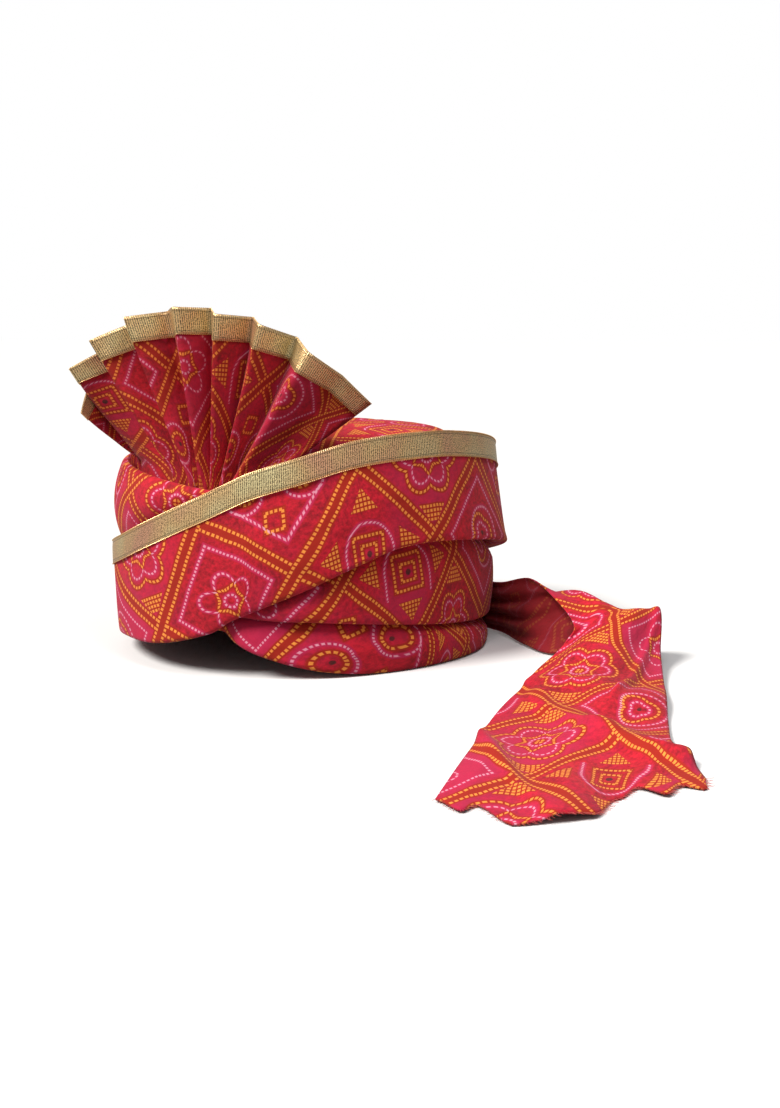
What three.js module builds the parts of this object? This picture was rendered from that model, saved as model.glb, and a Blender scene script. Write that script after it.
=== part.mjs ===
import * as THREE from 'three';

// A tied pagri, standing on a table with its loose end laid out in front.
// Millimetres, +Z up. The forehead is at -Y and the wearer's left is at +X.
// An angle runs round the head from the forehead towards the wearer's left.

// Head opening, measured inside the rim
const headHalfLength = 98.5;
const headHalfWidth = 85.5;

// Layers, from the head outwards
const capWall = 2.5;
const wrapPadding = 4.5;
const layerGap = 0.4;
const laceThickness = 1;
const laceWidth = 13.5;

// Height and roundness of the wound body
const wrapHeight = 126;
const crownHeight = 127;
const barrelHeight = 70;
const barrelInset = 3.5;
const rimSwell = 7;
const lowSwell = 4.5;
const highSwell = 5;
const upperSwell = 1.5;
const flareReach = 7.5;
const edgeBand = 3;

// Fan over the forehead
const fanReach = 86;
const fanTop = 190;
const fanFacing = 18;
const fanBend = 170;
const fanStemDepth = 26;
const fanClearance = 1;
const fanCloth = 1.8;
const stemCloth = 3;
const pleatDepth = 9;
const stemPleatDepth = 4;
const fanSetback = 5.5;
const fanSideways = 4;

// Loose end on the table
const tailAngle = 122;
const tailSpan = 185;
const tailReach = 315;
const tailRise = 38;
const tailCloth = 1.6;

// Fineness of the solids
const ringSteps = 60;
const tailRowsPerStation = 2;
const tailColumns = 8;

// Edges of the wraps at angles round the head, as shares of wrapHeight.
// flare is the share of flareReach that the upper wrap's lower edge stands out.
const wrapColumns = [
  'angle', 'upperTop', 'upperBottom', 'middleTop', 'middleBottom', 'lowerTop', 'lowerBottom', 'flare',
];
const wrapEdges = [
  [-62, 0.468, 0.063, 0.865, 0.127, 0.75, 0.048, 0.1],
  [-37, 0.540, 0.095, 0.841, 0.159, 0.50, 0.103, 0.0],
  [-17, 0.643, 0.119, 0.810, 0.206, 0.46, 0.143, 0.0],
  [3, 0.768, 0.198, 0.778, 0.262, 0.46, 0.206, 0.0],
  [16, 0.857, 0.294, 0.778, 0.254, 0.46, 0.135, 0.1],
  [30, 0.921, 0.381, 0.794, 0.246, 0.47, 0.063, 0.2],
  [43, 0.976, 0.468, 0.825, 0.230, 0.52, 0.024, 0.3],
  [57, 1.000, 0.540, 0.857, 0.206, 0.62, 0.000, 0.5],
  [76, 1.000, 0.540, 0.889, 0.167, 0.80, 0.000, 0.8],
  [105, 0.937, 0.468, 0.889, 0.119, 0.86, 0.000, 1.0],
  [145, 0.778, 0.317, 0.921, 0.095, 0.88, 0.000, 0.7],
  [190, 0.603, 0.190, 0.937, 0.095, 0.88, 0.000, 0.4],
  [240, 0.484, 0.095, 0.905, 0.103, 0.84, 0.000, 0.2],
].map((row) => Object.fromEntries(wrapColumns.map((column, place) => [column, row[place]])));

// Profile of the cap: height as a share of crownHeight, and its reach as a share of the wall's,
// over the ears and back of the head (side) and over the forehead (front), which slopes back.
const capProfile = [
  { height: 0.30, side: 1.00, front: 1.00 },
  { height: 0.45, side: 1.00, front: 0.99 },
  { height: 0.60, side: 1.00, front: 0.93 },
  { height: 0.76, side: 0.99, front: 0.84 },
  { height: 0.88, side: 0.96, front: 0.74 },
  { height: 0.955, side: 0.86, front: 0.61 },
  { height: 0.99, side: 0.56, front: 0.38 },
];

// Folds of the fan from the wearer's right to left. base is the angle round the head where the fold
// leaves the wrap, across is its reach at the outer edge as a share of fanReach, height its height
// there as a share of fanTop, and depth is 1 on a ridge and -1 in a valley.
const fanFolds = [
  { base: -43, across: -0.90, height: 0.716, depth: 1 },
  { base: -40, across: -0.91, height: 0.784, depth: -1 },
  { base: -36, across: -0.985, height: 0.836, depth: 1 },
  { base: -18, across: -0.74, height: 0.892, depth: -1 },
  { base: -15, across: -0.81, height: 0.912, depth: 1 },
  { base: -10, across: -0.56, height: 0.958, depth: -1 },
  { base: -8, across: -0.55, height: 0.974, depth: 1 },
  { base: -5, across: -0.31, height: 0.990, depth: -1 },
  { base: -3.5, across: -0.23, height: 1.000, depth: 1 },
  { base: -1, across: -0.04, height: 0.998, depth: -1 },
  { base: 0.5, across: 0.02, height: 0.982, depth: 1 },
  { base: 2.5, across: 0.21, height: 0.974, depth: -1 },
  { base: 4, across: 0.28, height: 0.955, depth: 1 },
  { base: 6.5, across: 0.47, height: 0.921, depth: -1 },
  { base: 8, across: 0.56, height: 0.884, depth: 1 },
  { base: 13, across: 0.75, height: 0.820, depth: 0 },
  { base: 18, across: 0.92, height: 0.742, depth: -1 },
];

// Stations of the loose end after its root on the middle wrap, which is at tailAngle. Each gives the
// near edge, the middle and the far edge, measured from the root as shares of tailSpan (X),
// tailReach (-Y) and tailRise (Z).
const tailStations = [
  { near: [0.09, 0.06, 0.82], middle: [0.10, 0.05, 0.42], far: [0.09, 0.04, 0.03] },
  { near: [0.21, 0.12, 0.98], middle: [0.23, 0.11, 0.52], far: [0.22, 0.11, 0.03] },
  { near: [0.31, 0.17, 0.84], middle: [0.38, 0.13, 0.84], far: [0.38, 0.06, 0.06] },
  { near: [0.38, 0.22, 0.52], middle: [0.48, 0.16, 0.83], far: [0.54, 0.07, 0.40] },
  { near: [0.36, 0.27, 0.32], middle: [0.52, 0.22, 0.74], far: [0.62, 0.13, 0.78] },
  { near: [0.34, 0.32, 0.13], middle: [0.52, 0.31, 0.47], far: [0.68, 0.25, 0.22] },
  { near: [0.36, 0.42, 0.03], middle: [0.55, 0.42, 0.20], far: [0.73, 0.38, 0.03] },
  { near: [0.39, 0.56, 0.03], middle: [0.60, 0.54, 0.05], far: [0.79, 0.54, 0.03] },
  { near: [0.43, 0.69, 0.03], middle: [0.66, 0.68, 0.09], far: [0.86, 0.64, 0.10] },
  { near: [0.47, 0.83, 0.03], middle: [0.71, 0.79, 0.06], far: [0.94, 0.69, 0.06] },
  { near: [0.50, 0.96, 0.03], middle: [0.76, 0.87, 0.05], far: [1.00, 0.74, 0.03] },
];

// How far each lobe of the raw end reaches past its straight line, as shares of tailReach
const tailLobes = [0.00, 0.04, 0.08, 0.07, 0.06, 0.02, 0.00, 0.02, 0.00];

// Heights of the root's near edge, middle and far edge, as shares of tailRise
const tailRootHeights = [0.77, 0.4, 0.03];

const materials = {
  crimson: () => new THREE.MeshStandardMaterial({ color: 0xb3202e, roughness: 0.85, metalness: 0 }),
  gold: () => new THREE.MeshStandardMaterial({ color: 0xb39a6a, roughness: 0.4, metalness: 0.8 }),
};

const radians = (degrees) => THREE.MathUtils.degToRad(degrees);
const mix = (from, to, share) => from + (to - from) * share;
const mixPoints = (from, to, share) => from.clone().lerp(to, share);

// Reads a column of wrapEdges at any angle, smoothly and all the way round
function readEdge(column, angle) {
  const count = wrapEdges.length;
  const first = wrapEdges[0].angle;
  const turned = THREE.MathUtils.euclideanModulo(angle - first, 360) + first;
  let index = count - 1;
  while (wrapEdges[index].angle > turned) index -= 1;
  const row = (step) => {
    const place = index + step;
    const turns = Math.floor(place / count);
    const entry = wrapEdges[place - turns * count];
    return { angle: entry.angle + 360 * turns, value: entry[column] };
  };
  const [before, start, end, after] = [row(-1), row(0), row(1), row(2)];
  const span = end.angle - start.angle;
  const share = (turned - start.angle) / span;
  const startSlope = ((end.value - before.value) / (end.angle - before.angle)) * span;
  const endSlope = ((after.value - start.value) / (after.angle - start.angle)) * span;
  const square = share * share;
  const cube = square * share;
  return (2 * cube - 3 * square + 1) * start.value
    + (cube - 2 * square + share) * startSlope
    + (3 * square - 2 * cube) * end.value
    + (cube - square) * endSlope;
}

const edgeHeight = (column, angle) => Math.max(0, readEdge(column, angle)) * wrapHeight;

// How far the barrel shape of the body draws in at a height
function barrel(height) {
  const share = (height - barrelHeight) / barrelHeight;
  return barrelInset * (1 - share * share);
}

// A point round the head, a distance outside the head opening
function aroundHead(angle, outward, height, reach = 1) {
  const turn = radians(angle);
  const width = (headHalfWidth + outward + barrel(height)) * reach;
  const length = (headHalfLength + outward + barrel(height)) * reach;
  return new THREE.Vector3(width * Math.sin(turn), -length * Math.cos(turn), height);
}

// Builds a mesh from vertices and triangles
function solid(name, vertices, triangles, material) {
  const positions = vertices.flatMap((vertex) => [vertex.x, vertex.y, vertex.z]);
  const geometry = new THREE.BufferGeometry();
  geometry.setAttribute('position', new THREE.Float32BufferAttribute(positions, 3));
  geometry.setIndex(triangles);
  geometry.computeVertexNormals();
  const mesh = new THREE.Mesh(geometry, material);
  mesh.name = name;
  return mesh;
}

// Joins the closed sections of a ring, each with its points from the lower outer edge upwards
function ring(name, sectionAt, material) {
  const vertices = [];
  const triangles = [];
  let count = 0;
  for (let step = 0; step < ringSteps; step += 1) {
    const angle = (step * 360) / ringSteps;
    const section = sectionAt(angle);
    count = section.length;
    section.forEach(([outward, height]) => vertices.push(aroundHead(angle, outward, height)));
  }
  for (let step = 0; step < ringSteps; step += 1) {
    const next = (step + 1) % ringSteps;
    for (let point = 0; point < count; point += 1) {
      const above = (point + 1) % count;
      const [a, b] = [step * count + point, next * count + point];
      const [c, d] = [next * count + above, step * count + above];
      triangles.push(a, b, c, a, c, d);
    }
  }
  return solid(name, vertices, triangles, material);
}

// Distances outside the head opening where each layer starts
const lowerStart = capWall + layerGap;
const middleStart = lowerStart + wrapPadding + layerGap;
const upperStart = middleStart + wrapPadding + layerGap;
const laceStart = upperStart + wrapPadding + upperSwell + layerGap;

const swell = (share) => 4 * share * (1 - share);
const droop = (share) => swell(0.2 + 0.8 * share);

// Section of a wrap that the next wrap covers between two heights, and that swells where it shows
function wrapSection({ start, bottom, top, coverBottom, coverTop, bulge }) {
  const outer = start + wrapPadding;
  const low = Math.max(coverBottom - layerGap, bottom + edgeBand);
  const high = Math.max(Math.min(coverTop + layerGap, top - edgeBand), low + edgeBand);
  const lowShow = THREE.MathUtils.clamp((coverBottom - bottom - edgeBand) / (2 * bulge), 0, 1);
  const highShow = THREE.MathUtils.clamp((top - coverTop - edgeBand) / (4 * highSwell), 0, 1);
  const points = [[start + 0.7 * wrapPadding + bulge * lowShow * droop(0), bottom]];
  for (const share of [0.15, 0.45, 0.75]) {
    points.push([outer + bulge * lowShow * droop(share), mix(bottom, low, share)]);
  }
  points.push([outer, low], [outer, mix(low, high, 0.5)], [outer, high]);
  for (const share of [0.2, 0.5, 0.8]) {
    points.push([outer + highSwell * highShow * swell(share), mix(high, top, share)]);
  }
  points.push([start + 0.6 * wrapPadding, top]);
  for (const share of [1, 0.75, 0.5, 0.25, 0]) {
    points.push([start, mix(bottom, top, share)]);
  }
  return points;
}

function lowerWrap() {
  return ring('lower_wrap', (angle) => {
    const top = edgeHeight('lowerTop', angle);
    return wrapSection({
      start: lowerStart,
      bottom: edgeHeight('lowerBottom', angle),
      top,
      coverBottom: Math.min(edgeHeight('middleBottom', angle), edgeHeight('upperBottom', angle)),
      coverTop: top,
      bulge: rimSwell,
    });
  }, materials.crimson());
}

function middleWrap() {
  return ring('middle_wrap', (angle) => wrapSection({
    start: middleStart,
    bottom: edgeHeight('middleBottom', angle),
    top: edgeHeight('middleTop', angle),
    coverBottom: edgeHeight('upperBottom', angle),
    coverTop: edgeHeight('upperTop', angle),
    bulge: lowSwell,
  }), materials.crimson());
}

// How far the upper wrap's lower part stands out from the layer under it
function upperFlare(angle, height) {
  const bottom = edgeHeight('upperBottom', angle);
  const top = edgeHeight('upperTop', angle);
  const share = THREE.MathUtils.clamp((top - height) / (top - bottom), 0, 1);
  return flareReach * readEdge('flare', angle) * share * share;
}

function upperWrap() {
  return ring('upper_wrap', (angle) => {
    const bottom = edgeHeight('upperBottom', angle);
    const top = edgeHeight('upperTop', angle);
    const points = [[upperStart + 0.5 * wrapPadding + upperFlare(angle, bottom), bottom]];
    for (const share of [0.06, 0.25, 0.5, 0.75, 1]) {
      const height = mix(bottom, top, share);
      const rounding = upperSwell * Math.sqrt(Math.min(1, 0.2 + share));
      points.push([upperStart + wrapPadding + rounding + upperFlare(angle, height), height]);
    }
    for (const share of [1, 0.75, 0.5, 0.25, 0]) {
      const height = mix(bottom, top, share);
      points.push([upperStart + upperFlare(angle, height), height]);
    }
    return points;
  }, materials.crimson());
}

function upperLace() {
  return ring('upper_lace', (angle) => {
    const top = edgeHeight('upperTop', angle);
    const points = [];
    for (const share of [0, 0.5, 1]) {
      const height = top - laceWidth * (1 - share);
      points.push([laceStart + laceThickness + upperFlare(angle, height), height]);
    }
    for (const share of [1, 0.5, 0]) {
      const height = top - laceWidth * (1 - share);
      points.push([laceStart + upperFlare(angle, height), height]);
    }
    return points;
  }, materials.gold());
}

// Points of the cap's outer surface at one angle, from the rim to just beside the pole
function capLine(angle) {
  const frontness = Math.max(0, Math.cos(radians(angle))) ** 1.5;
  const rim = edgeHeight('lowerBottom', angle) + capWall;
  const line = [aroundHead(angle, capWall, rim)];
  for (const row of capProfile) {
    const reach = mix(row.side, row.front, frontness);
    line.push(aroundHead(angle, capWall, row.height * crownHeight, reach));
  }
  return line;
}

// The same line moved inwards by the cap's wall
function capLining(line) {
  const pole = new THREE.Vector3(0, 0, crownHeight);
  return line.map((point, index) => {
    const before = line[Math.max(0, index - 1)];
    const after = line[index + 1] ?? pole;
    const rise = after.z - before.z;
    const drawIn = Math.hypot(before.x, before.y) - Math.hypot(after.x, after.y);
    const slope = Math.hypot(rise, drawIn);
    const radius = Math.hypot(point.x, point.y);
    const inner = 1 - (capWall * rise) / (slope * radius);
    const drop = index === 0 ? 0 : (capWall * drawIn) / slope;
    return new THREE.Vector3(point.x * inner, point.y * inner, point.z - drop);
  });
}

function crownCap() {
  const vertices = [];
  const triangles = [];
  const rows = capProfile.length + 1;
  for (let step = 0; step < ringSteps; step += 1) {
    const line = capLine((step * 360) / ringSteps);
    vertices.push(...line, ...capLining(line));
  }
  const outerPole = vertices.length;
  const innerPole = outerPole + 1;
  vertices.push(new THREE.Vector3(0, 0, crownHeight), new THREE.Vector3(0, 0, crownHeight - capWall));
  for (let step = 0; step < ringSteps; step += 1) {
    const here = step * 2 * rows;
    const next = ((step + 1) % ringSteps) * 2 * rows;
    for (let row = 0; row < rows - 1; row += 1) {
      const [a, b, c, d] = [here + row, next + row, next + row + 1, here + row + 1];
      triangles.push(a, b, c, a, c, d);
      triangles.push(a + rows, c + rows, b + rows, a + rows, d + rows, c + rows);
    }
    triangles.push(here, here + rows, next + rows, here, next + rows, next);
    triangles.push(here + rows - 1, next + rows - 1, outerPole);
    triangles.push(here + 2 * rows - 1, innerPole, next + 2 * rows - 1);
  }
  return solid('crown_cap', vertices, triangles, materials.crimson());
}

// Where a fold of the fan reaches its outer edge, on a surface bent round the forehead
function fanEdge(fold) {
  const facing = radians(fanFacing);
  const across = new THREE.Vector3(Math.cos(facing), Math.sin(facing), 0);
  const outward = new THREE.Vector3(Math.sin(facing), -Math.cos(facing), 0);
  const bend = (fold.across * fanReach) / fanBend;
  const point = new THREE.Vector3(fanSideways, -headHalfLength - fanSetback, fold.height * fanTop);
  point.addScaledVector(across, fanBend * Math.sin(bend));
  point.addScaledVector(outward, -fanBend * (1 - Math.cos(bend)));
  return point;
}

// A fold of the fan at a share of its length above the wrap; below zero it is in the stem
function fanPoint(fold, share, shift) {
  const rim = edgeHeight('middleTop', fold.base) + edgeBand;
  const insideWrap = middleStart - fanClearance - (stemPleatDepth + stemCloth) / 2;
  const base = aroundHead(fold.base, insideWrap, rim);
  const facing = radians(mix(fold.base, fanFacing, Math.max(0, share)));
  const outward = new THREE.Vector3(Math.sin(facing), -Math.cos(facing), 0);
  const point = share < 0
    ? aroundHead(fold.base, insideWrap, rim + share * fanStemDepth)
    : mixPoints(base, fanEdge(fold), share);
  const halfDepth = mix(stemPleatDepth, pleatDepth, Math.max(0, share)) / 2;
  return point.addScaledVector(outward, fold.depth * halfDepth + shift(share));
}

// A pleated sheet between two shares of the fan's length, from a back to a front shift
function pleatedSheet(name, shares, backShift, frontShift, material) {
  const vertices = [];
  const triangles = [];
  const columns = fanFolds.length;
  const rows = shares.length;
  for (const shift of [frontShift, backShift]) {
    for (const share of shares) {
      fanFolds.forEach((fold) => vertices.push(fanPoint(fold, share, shift)));
    }
  }
  const front = (row, column) => row * columns + column;
  const back = (row, column) => (rows + row) * columns + column;
  const quad = (a, b, c, d) => triangles.push(a, b, c, a, c, d);
  for (let row = 0; row < rows - 1; row += 1) {
    for (let column = 0; column < columns - 1; column += 1) {
      quad(front(row, column), front(row, column + 1), front(row + 1, column + 1), front(row + 1, column));
      quad(back(row, column), back(row + 1, column), back(row + 1, column + 1), back(row, column + 1));
    }
    quad(back(row, 0), front(row, 0), front(row + 1, 0), back(row + 1, 0));
    const last = columns - 1;
    quad(front(row, last), back(row, last), back(row + 1, last), front(row + 1, last));
  }
  const top = rows - 1;
  for (let column = 0; column < columns - 1; column += 1) {
    quad(front(top, column), front(top, column + 1), back(top, column + 1), back(top, column));
    quad(back(0, column), back(0, column + 1), front(0, column + 1), front(0, column));
  }
  return solid(name, vertices, triangles, material);
}

const fanHalfCloth = (share) => mix(stemCloth, fanCloth, Math.max(0, share)) / 2;

function fan() {
  const back = (share) => -fanHalfCloth(share);
  return pleatedSheet('fan', [-1, -0.5, 0, 0.15, 0.4, 0.7, 1], back, fanHalfCloth, materials.crimson());
}

function fanLace() {
  const fanLength = fanTop - wrapHeight * readEdge('middleTop', 0);
  const laceShare = 1 - laceWidth / fanLength;
  const back = (share) => fanHalfCloth(share) + layerGap;
  const front = (share) => back(share) + laceThickness;
  return pleatedSheet('fan_lace', [laceShare, (1 + laceShare) / 2, 1], back, front, materials.gold());
}

// A smooth line through points, read at an even step
const smoothLine = (points) => new THREE.CatmullRomCurve3(points, false, 'centripetal');

function tailGrid() {
  const seat = middleStart + wrapPadding + lowSwell + layerGap + tailCloth / 2;
  const root = tailRootHeights.map((rise) => aroundHead(tailAngle, seat, rise * tailRise));
  const place = ([span, reach, rise]) => new THREE.Vector3(
    root[0].x + span * tailSpan,
    root[0].y - reach * tailReach,
    Math.max(rise * tailRise, tailCloth / 2),
  );
  const stations = tailStations.map((row) => [row.near, row.middle, row.far].map(place));
  const sections = [root, ...stations].map(smoothLine);
  const rowCount = tailStations.length * tailRowsPerStation;
  const grid = Array.from({ length: rowCount + 1 }, () => []);
  for (let column = 0; column <= tailColumns; column += 1) {
    const along = smoothLine(sections.map((section) => section.getPoint(column / tailColumns)));
    for (let row = 0; row <= rowCount; row += 1) {
      const point = along.getPoint(row / rowCount);
      point.z = Math.max(point.z, tailCloth / 2);
      grid[row].push(point);
    }
  }
  const last = grid[rowCount];
  const across = last[tailColumns].clone().sub(last[0]).normalize();
  const outward = new THREE.Vector3(across.y, -across.x, 0);
  last.forEach((point, column) => point.addScaledVector(outward, tailLobes[column] * tailReach));
  return grid;
}

function tail() {
  const grid = tailGrid();
  const rows = grid.length;
  const columns = tailColumns + 1;
  const normalAt = (row, column) => {
    const along = grid[Math.min(row + 1, rows - 1)][column].clone().sub(grid[Math.max(row - 1, 0)][column]);
    const right = grid[row][Math.min(column + 1, columns - 1)];
    const across = right.clone().sub(grid[row][Math.max(column - 1, 0)]);
    return along.cross(across).normalize();
  };
  const vertices = [];
  const triangles = [];
  for (const side of [1, -1]) {
    grid.forEach((line, row) => line.forEach((point, column) => {
      const moved = point.clone().addScaledVector(normalAt(row, column), (side * tailCloth) / 2);
      moved.z = Math.max(moved.z, side > 0 ? tailCloth : 0);
      vertices.push(moved);
    }));
  }
  const upper = (row, column) => row * columns + column;
  const under = (row, column) => (rows + row) * columns + column;
  const quad = (a, b, c, d) => triangles.push(a, b, c, a, c, d);
  for (let row = 0; row < rows - 1; row += 1) {
    for (let column = 0; column < columns - 1; column += 1) {
      quad(upper(row, column), upper(row + 1, column), upper(row + 1, column + 1), upper(row, column + 1));
      quad(under(row, column), under(row, column + 1), under(row + 1, column + 1), under(row + 1, column));
    }
    quad(upper(row, 0), under(row, 0), under(row + 1, 0), upper(row + 1, 0));
    const last = columns - 1;
    quad(under(row, last), upper(row, last), upper(row + 1, last), under(row + 1, last));
  }
  const end = rows - 1;
  for (let column = 0; column < columns - 1; column += 1) {
    quad(upper(0, column), upper(0, column + 1), under(0, column + 1), under(0, column));
    quad(upper(end, column + 1), upper(end, column), under(end, column), under(end, column + 1));
  }
  return solid('tail', vertices, triangles, materials.crimson());
}

const group = new THREE.Group();
group.add(crownCap(), lowerWrap(), middleWrap(), upperWrap(), upperLace(), fan(), fanLace(), tail());

// The origin is the centre of the footprint, on the table
const bounds = new THREE.Box3().setFromObject(group);
const centre = bounds.getCenter(new THREE.Vector3());
group.position.set(-centre.x, -centre.y, -bounds.min.z);
group.updateMatrixWorld(true);

export default group;
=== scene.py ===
import math
from functools import partialmethod

import bpy
import numpy as np
from bpy.props import FloatProperty, FloatVectorProperty, IntProperty, PointerProperty
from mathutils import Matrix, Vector


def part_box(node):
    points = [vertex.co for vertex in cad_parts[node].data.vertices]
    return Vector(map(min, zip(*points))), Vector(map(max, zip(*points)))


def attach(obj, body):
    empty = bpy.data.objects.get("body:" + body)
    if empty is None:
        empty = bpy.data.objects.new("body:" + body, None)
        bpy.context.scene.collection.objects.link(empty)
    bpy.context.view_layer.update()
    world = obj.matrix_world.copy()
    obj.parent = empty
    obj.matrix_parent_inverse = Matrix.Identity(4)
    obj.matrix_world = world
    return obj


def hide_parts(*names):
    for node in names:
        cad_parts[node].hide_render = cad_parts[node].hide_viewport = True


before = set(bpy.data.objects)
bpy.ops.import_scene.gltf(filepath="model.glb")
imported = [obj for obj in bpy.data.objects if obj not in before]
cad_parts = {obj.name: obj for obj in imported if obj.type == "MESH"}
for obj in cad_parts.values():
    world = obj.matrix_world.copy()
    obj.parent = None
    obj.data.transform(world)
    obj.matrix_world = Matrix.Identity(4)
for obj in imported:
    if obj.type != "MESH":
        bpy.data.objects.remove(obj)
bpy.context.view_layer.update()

bl_info = {
    "name": "Tied pagri",
    "version": (1, 0, 0),
    "blender": (4, 5, 0),
    "location": "View3D > Sidebar > Pagri",
    "description": "Builds a ready-tied pagri in printed cotton with gold ribbon, a fan and a loose end",
    "category": "Add Mesh",
}

MM = 0.001

# The axis of the wound body, from the cap that it is wound on
cap_low, cap_high = (np.array(corner, float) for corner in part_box("crown_cap"))
CAP_WALL = 2.5 * MM
BARREL_INSET = 3.5 * MM
HEAD_HALF_WIDTH = float(cap_high[0] - cap_low[0]) / 2 - CAP_WALL - BARREL_INSET
HEAD_HALF_LENGTH = HEAD_HALF_WIDTH + 13 * MM
AXIS = np.array([
    (cap_low[0] + cap_high[0]) / 2,
    cap_high[1] - HEAD_HALF_LENGTH - CAP_WALL - BARREL_INSET,
    0.0,
])
CROWN_HEIGHT = float(cap_high[2])
FAN_TOP = float(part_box("fan")[1][2])

# Places round the head, in degrees from the forehead towards the wearer's left
PRINT_START = 5.0
LEFT_BROW = 35
LEFT_TEMPLE = 88
LEFT_EAR = 110

# The crown's cloth: the turn, spacing and height of its pleats, its thickness with the padding, and
# the drop at which its print has spread to twice its size
CROWN_SLANT = math.radians(24)
CROWN_PLEAT = 27 * MM
CROWN_PLEAT_HEIGHT = 1.6 * MM
CROWN_CLOTH = 2.2 * MM
CROWN_UNROLL = 90 * MM

# Edges of the wraps round the head, as shares of the wrap height. The angle runs from the forehead
# towards the wearer's left. The last column is how far the upper wrap's lower edge stands out.
EDGE_COLUMNS = (
    "angle", "upper_top", "upper_bottom", "middle_top", "middle_bottom",
    "lower_top", "lower_bottom", "flare",
)
EDGE_ROWS = (
    (-62, 0.468, 0.063, 0.865, 0.127, 0.75, 0.048, 0.1),
    (-37, 0.540, 0.095, 0.841, 0.159, 0.50, 0.103, 0.0),
    (-17, 0.643, 0.119, 0.810, 0.206, 0.46, 0.143, 0.0),
    (3, 0.768, 0.194, 0.778, 0.262, 0.46, 0.190, 0.0),
    (9, 0.810, 0.248, 0.778, 0.260, 0.46, 0.150, 0.0),
    (16, 0.857, 0.294, 0.778, 0.254, 0.46, 0.105, 0.1),
    (30, 0.921, 0.381, 0.794, 0.246, 0.47, 0.044, 0.2),
    (43, 0.976, 0.468, 0.825, 0.230, 0.52, 0.012, 0.3),
    (57, 1.000, 0.540, 0.857, 0.206, 0.62, 0.000, 0.5),
    (76, 1.000, 0.540, 0.889, 0.167, 0.80, 0.000, 0.8),
    (105, 0.937, 0.468, 0.889, 0.119, 0.86, 0.000, 1.0),
    (145, 0.778, 0.317, 0.921, 0.095, 0.88, 0.000, 0.7),
    (190, 0.603, 0.190, 0.937, 0.095, 0.88, 0.000, 0.4),
    (240, 0.484, 0.095, 0.905, 0.103, 0.84, 0.000, 0.2),
)

# Profile of the crown: height as a share of the crown height, and its reach over the ears and back
# of the head (side) and over the forehead (front), which slopes back
CROWN_COLUMNS = ("height", "side", "front")
CROWN_ROWS = (
    (0.02, 1.00, 1.00),
    (0.30, 1.00, 1.00),
    (0.45, 1.00, 0.99),
    (0.60, 1.00, 0.93),
    (0.76, 0.99, 0.84),
    (0.88, 0.96, 0.74),
    (0.955, 0.86, 0.61),
    (0.99, 0.56, 0.38),
    (1.00, 0.20, 0.14),
)

# Folds of the fan from the wearer's right to left: the angle round the head where the fold leaves
# the wrap, its reach and height at the outer edge, 1 on a ridge or -1 in a valley, and how much it
# sinks halfway up
FOLD_COLUMNS = ("base", "across", "height", "depth", "pit")
FOLD_ROWS = (
    (-43, -0.90, 0.716, 1, 0.0),
    (-40, -0.91, 0.784, -1, 1.0),
    (-36, -0.985, 0.836, 1, 0.0),
    (-18, -0.74, 0.892, -1, 1.3),
    (-15, -0.81, 0.912, 1, 0.0),
    (-10, -0.56, 0.958, -1, 1.3),
    (-8, -0.55, 0.974, 1, 0.0),
    (-5, -0.31, 0.990, -1, 1.1),
    (-3.5, -0.23, 1.000, 1, 0.0),
    (-1, -0.04, 0.998, -1, 1.2),
    (0.5, 0.02, 0.982, 1, 0.0),
    (2.5, 0.21, 0.974, -1, 1.5),
    (4, 0.28, 0.955, 1, 0.0),
    (6.5, 0.47, 0.921, -1, 2.0),
    (8, 0.56, 0.884, 1, 0.0),
    (13, 0.75, 0.820, 0, 2.6),
    (18, 0.92, 0.742, -1, 0.6),
)

# Stations of the loose end, from its root to its raw end: near edge, middle and far edge, measured
# from the root as shares of the tail's span, reach and rise
TAIL_ROWS = (
    ((0.09, 0.05, 0.85), (0.10, 0.05, 0.42), (0.09, 0.04, 0.03)),
    ((0.198, 0.08, 0.99), (0.22, 0.11, 0.52), (0.21, 0.12, 0.03)),
    ((0.33, 0.18, 0.90), (0.38, 0.12, 0.86), (0.33, 0.17, 0.03)),
    ((0.43, 0.245, 0.60), (0.49, 0.16, 0.84), (0.49, 0.10, 0.12)),
    ((0.405, 0.275, 0.33), (0.53, 0.21, 0.75), (0.625, 0.13, 0.79)),
    ((0.372, 0.335, 0.13), (0.53, 0.31, 0.47), (0.67, 0.21, 0.26)),
    ((0.375, 0.42, 0.03), (0.56, 0.42, 0.20), (0.755, 0.385, 0.04)),
    ((0.395, 0.56, 0.03), (0.61, 0.55, 0.06), (0.825, 0.54, 0.05)),
    ((0.43, 0.69, 0.03), (0.66, 0.68, 0.09), (0.88, 0.65, 0.10)),
    ((0.47, 0.83, 0.03), (0.71, 0.79, 0.06), (0.95, 0.71, 0.06)),
    ((0.50, 0.96, 0.03), (0.76, 0.88, 0.05), (1.00, 0.76, 0.03)),
)
TAIL_ROOT_HEIGHTS = (0.77, 0.40, 0.03)

# How far the raw end reaches past its straight line, at shares of its width
LOBE_SHARES = (0.0, 0.06, 0.13, 0.20, 0.34, 0.48, 0.63, 0.73, 0.80, 0.88, 0.96, 1.0)
LOBE_REACH_MM = (3, 17, 10, 31, 29, 26, 8, -1, 11, 2, 8, -3)

# Soft lifts of the loose end: share along, share across, length, width and height in millimetres
TAIL_LIFTS = (
    (0.68, 0.80, 0.05, 0.30, 7.0),
    (0.62, 0.35, 0.04, 0.25, 3.0),
    (0.80, 0.62, 0.03, 0.20, 4.5),
    (0.90, 0.10, 0.08, 0.10, 4.0),
    (0.95, 0.42, 0.05, 0.10, 3.5),
)

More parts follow.
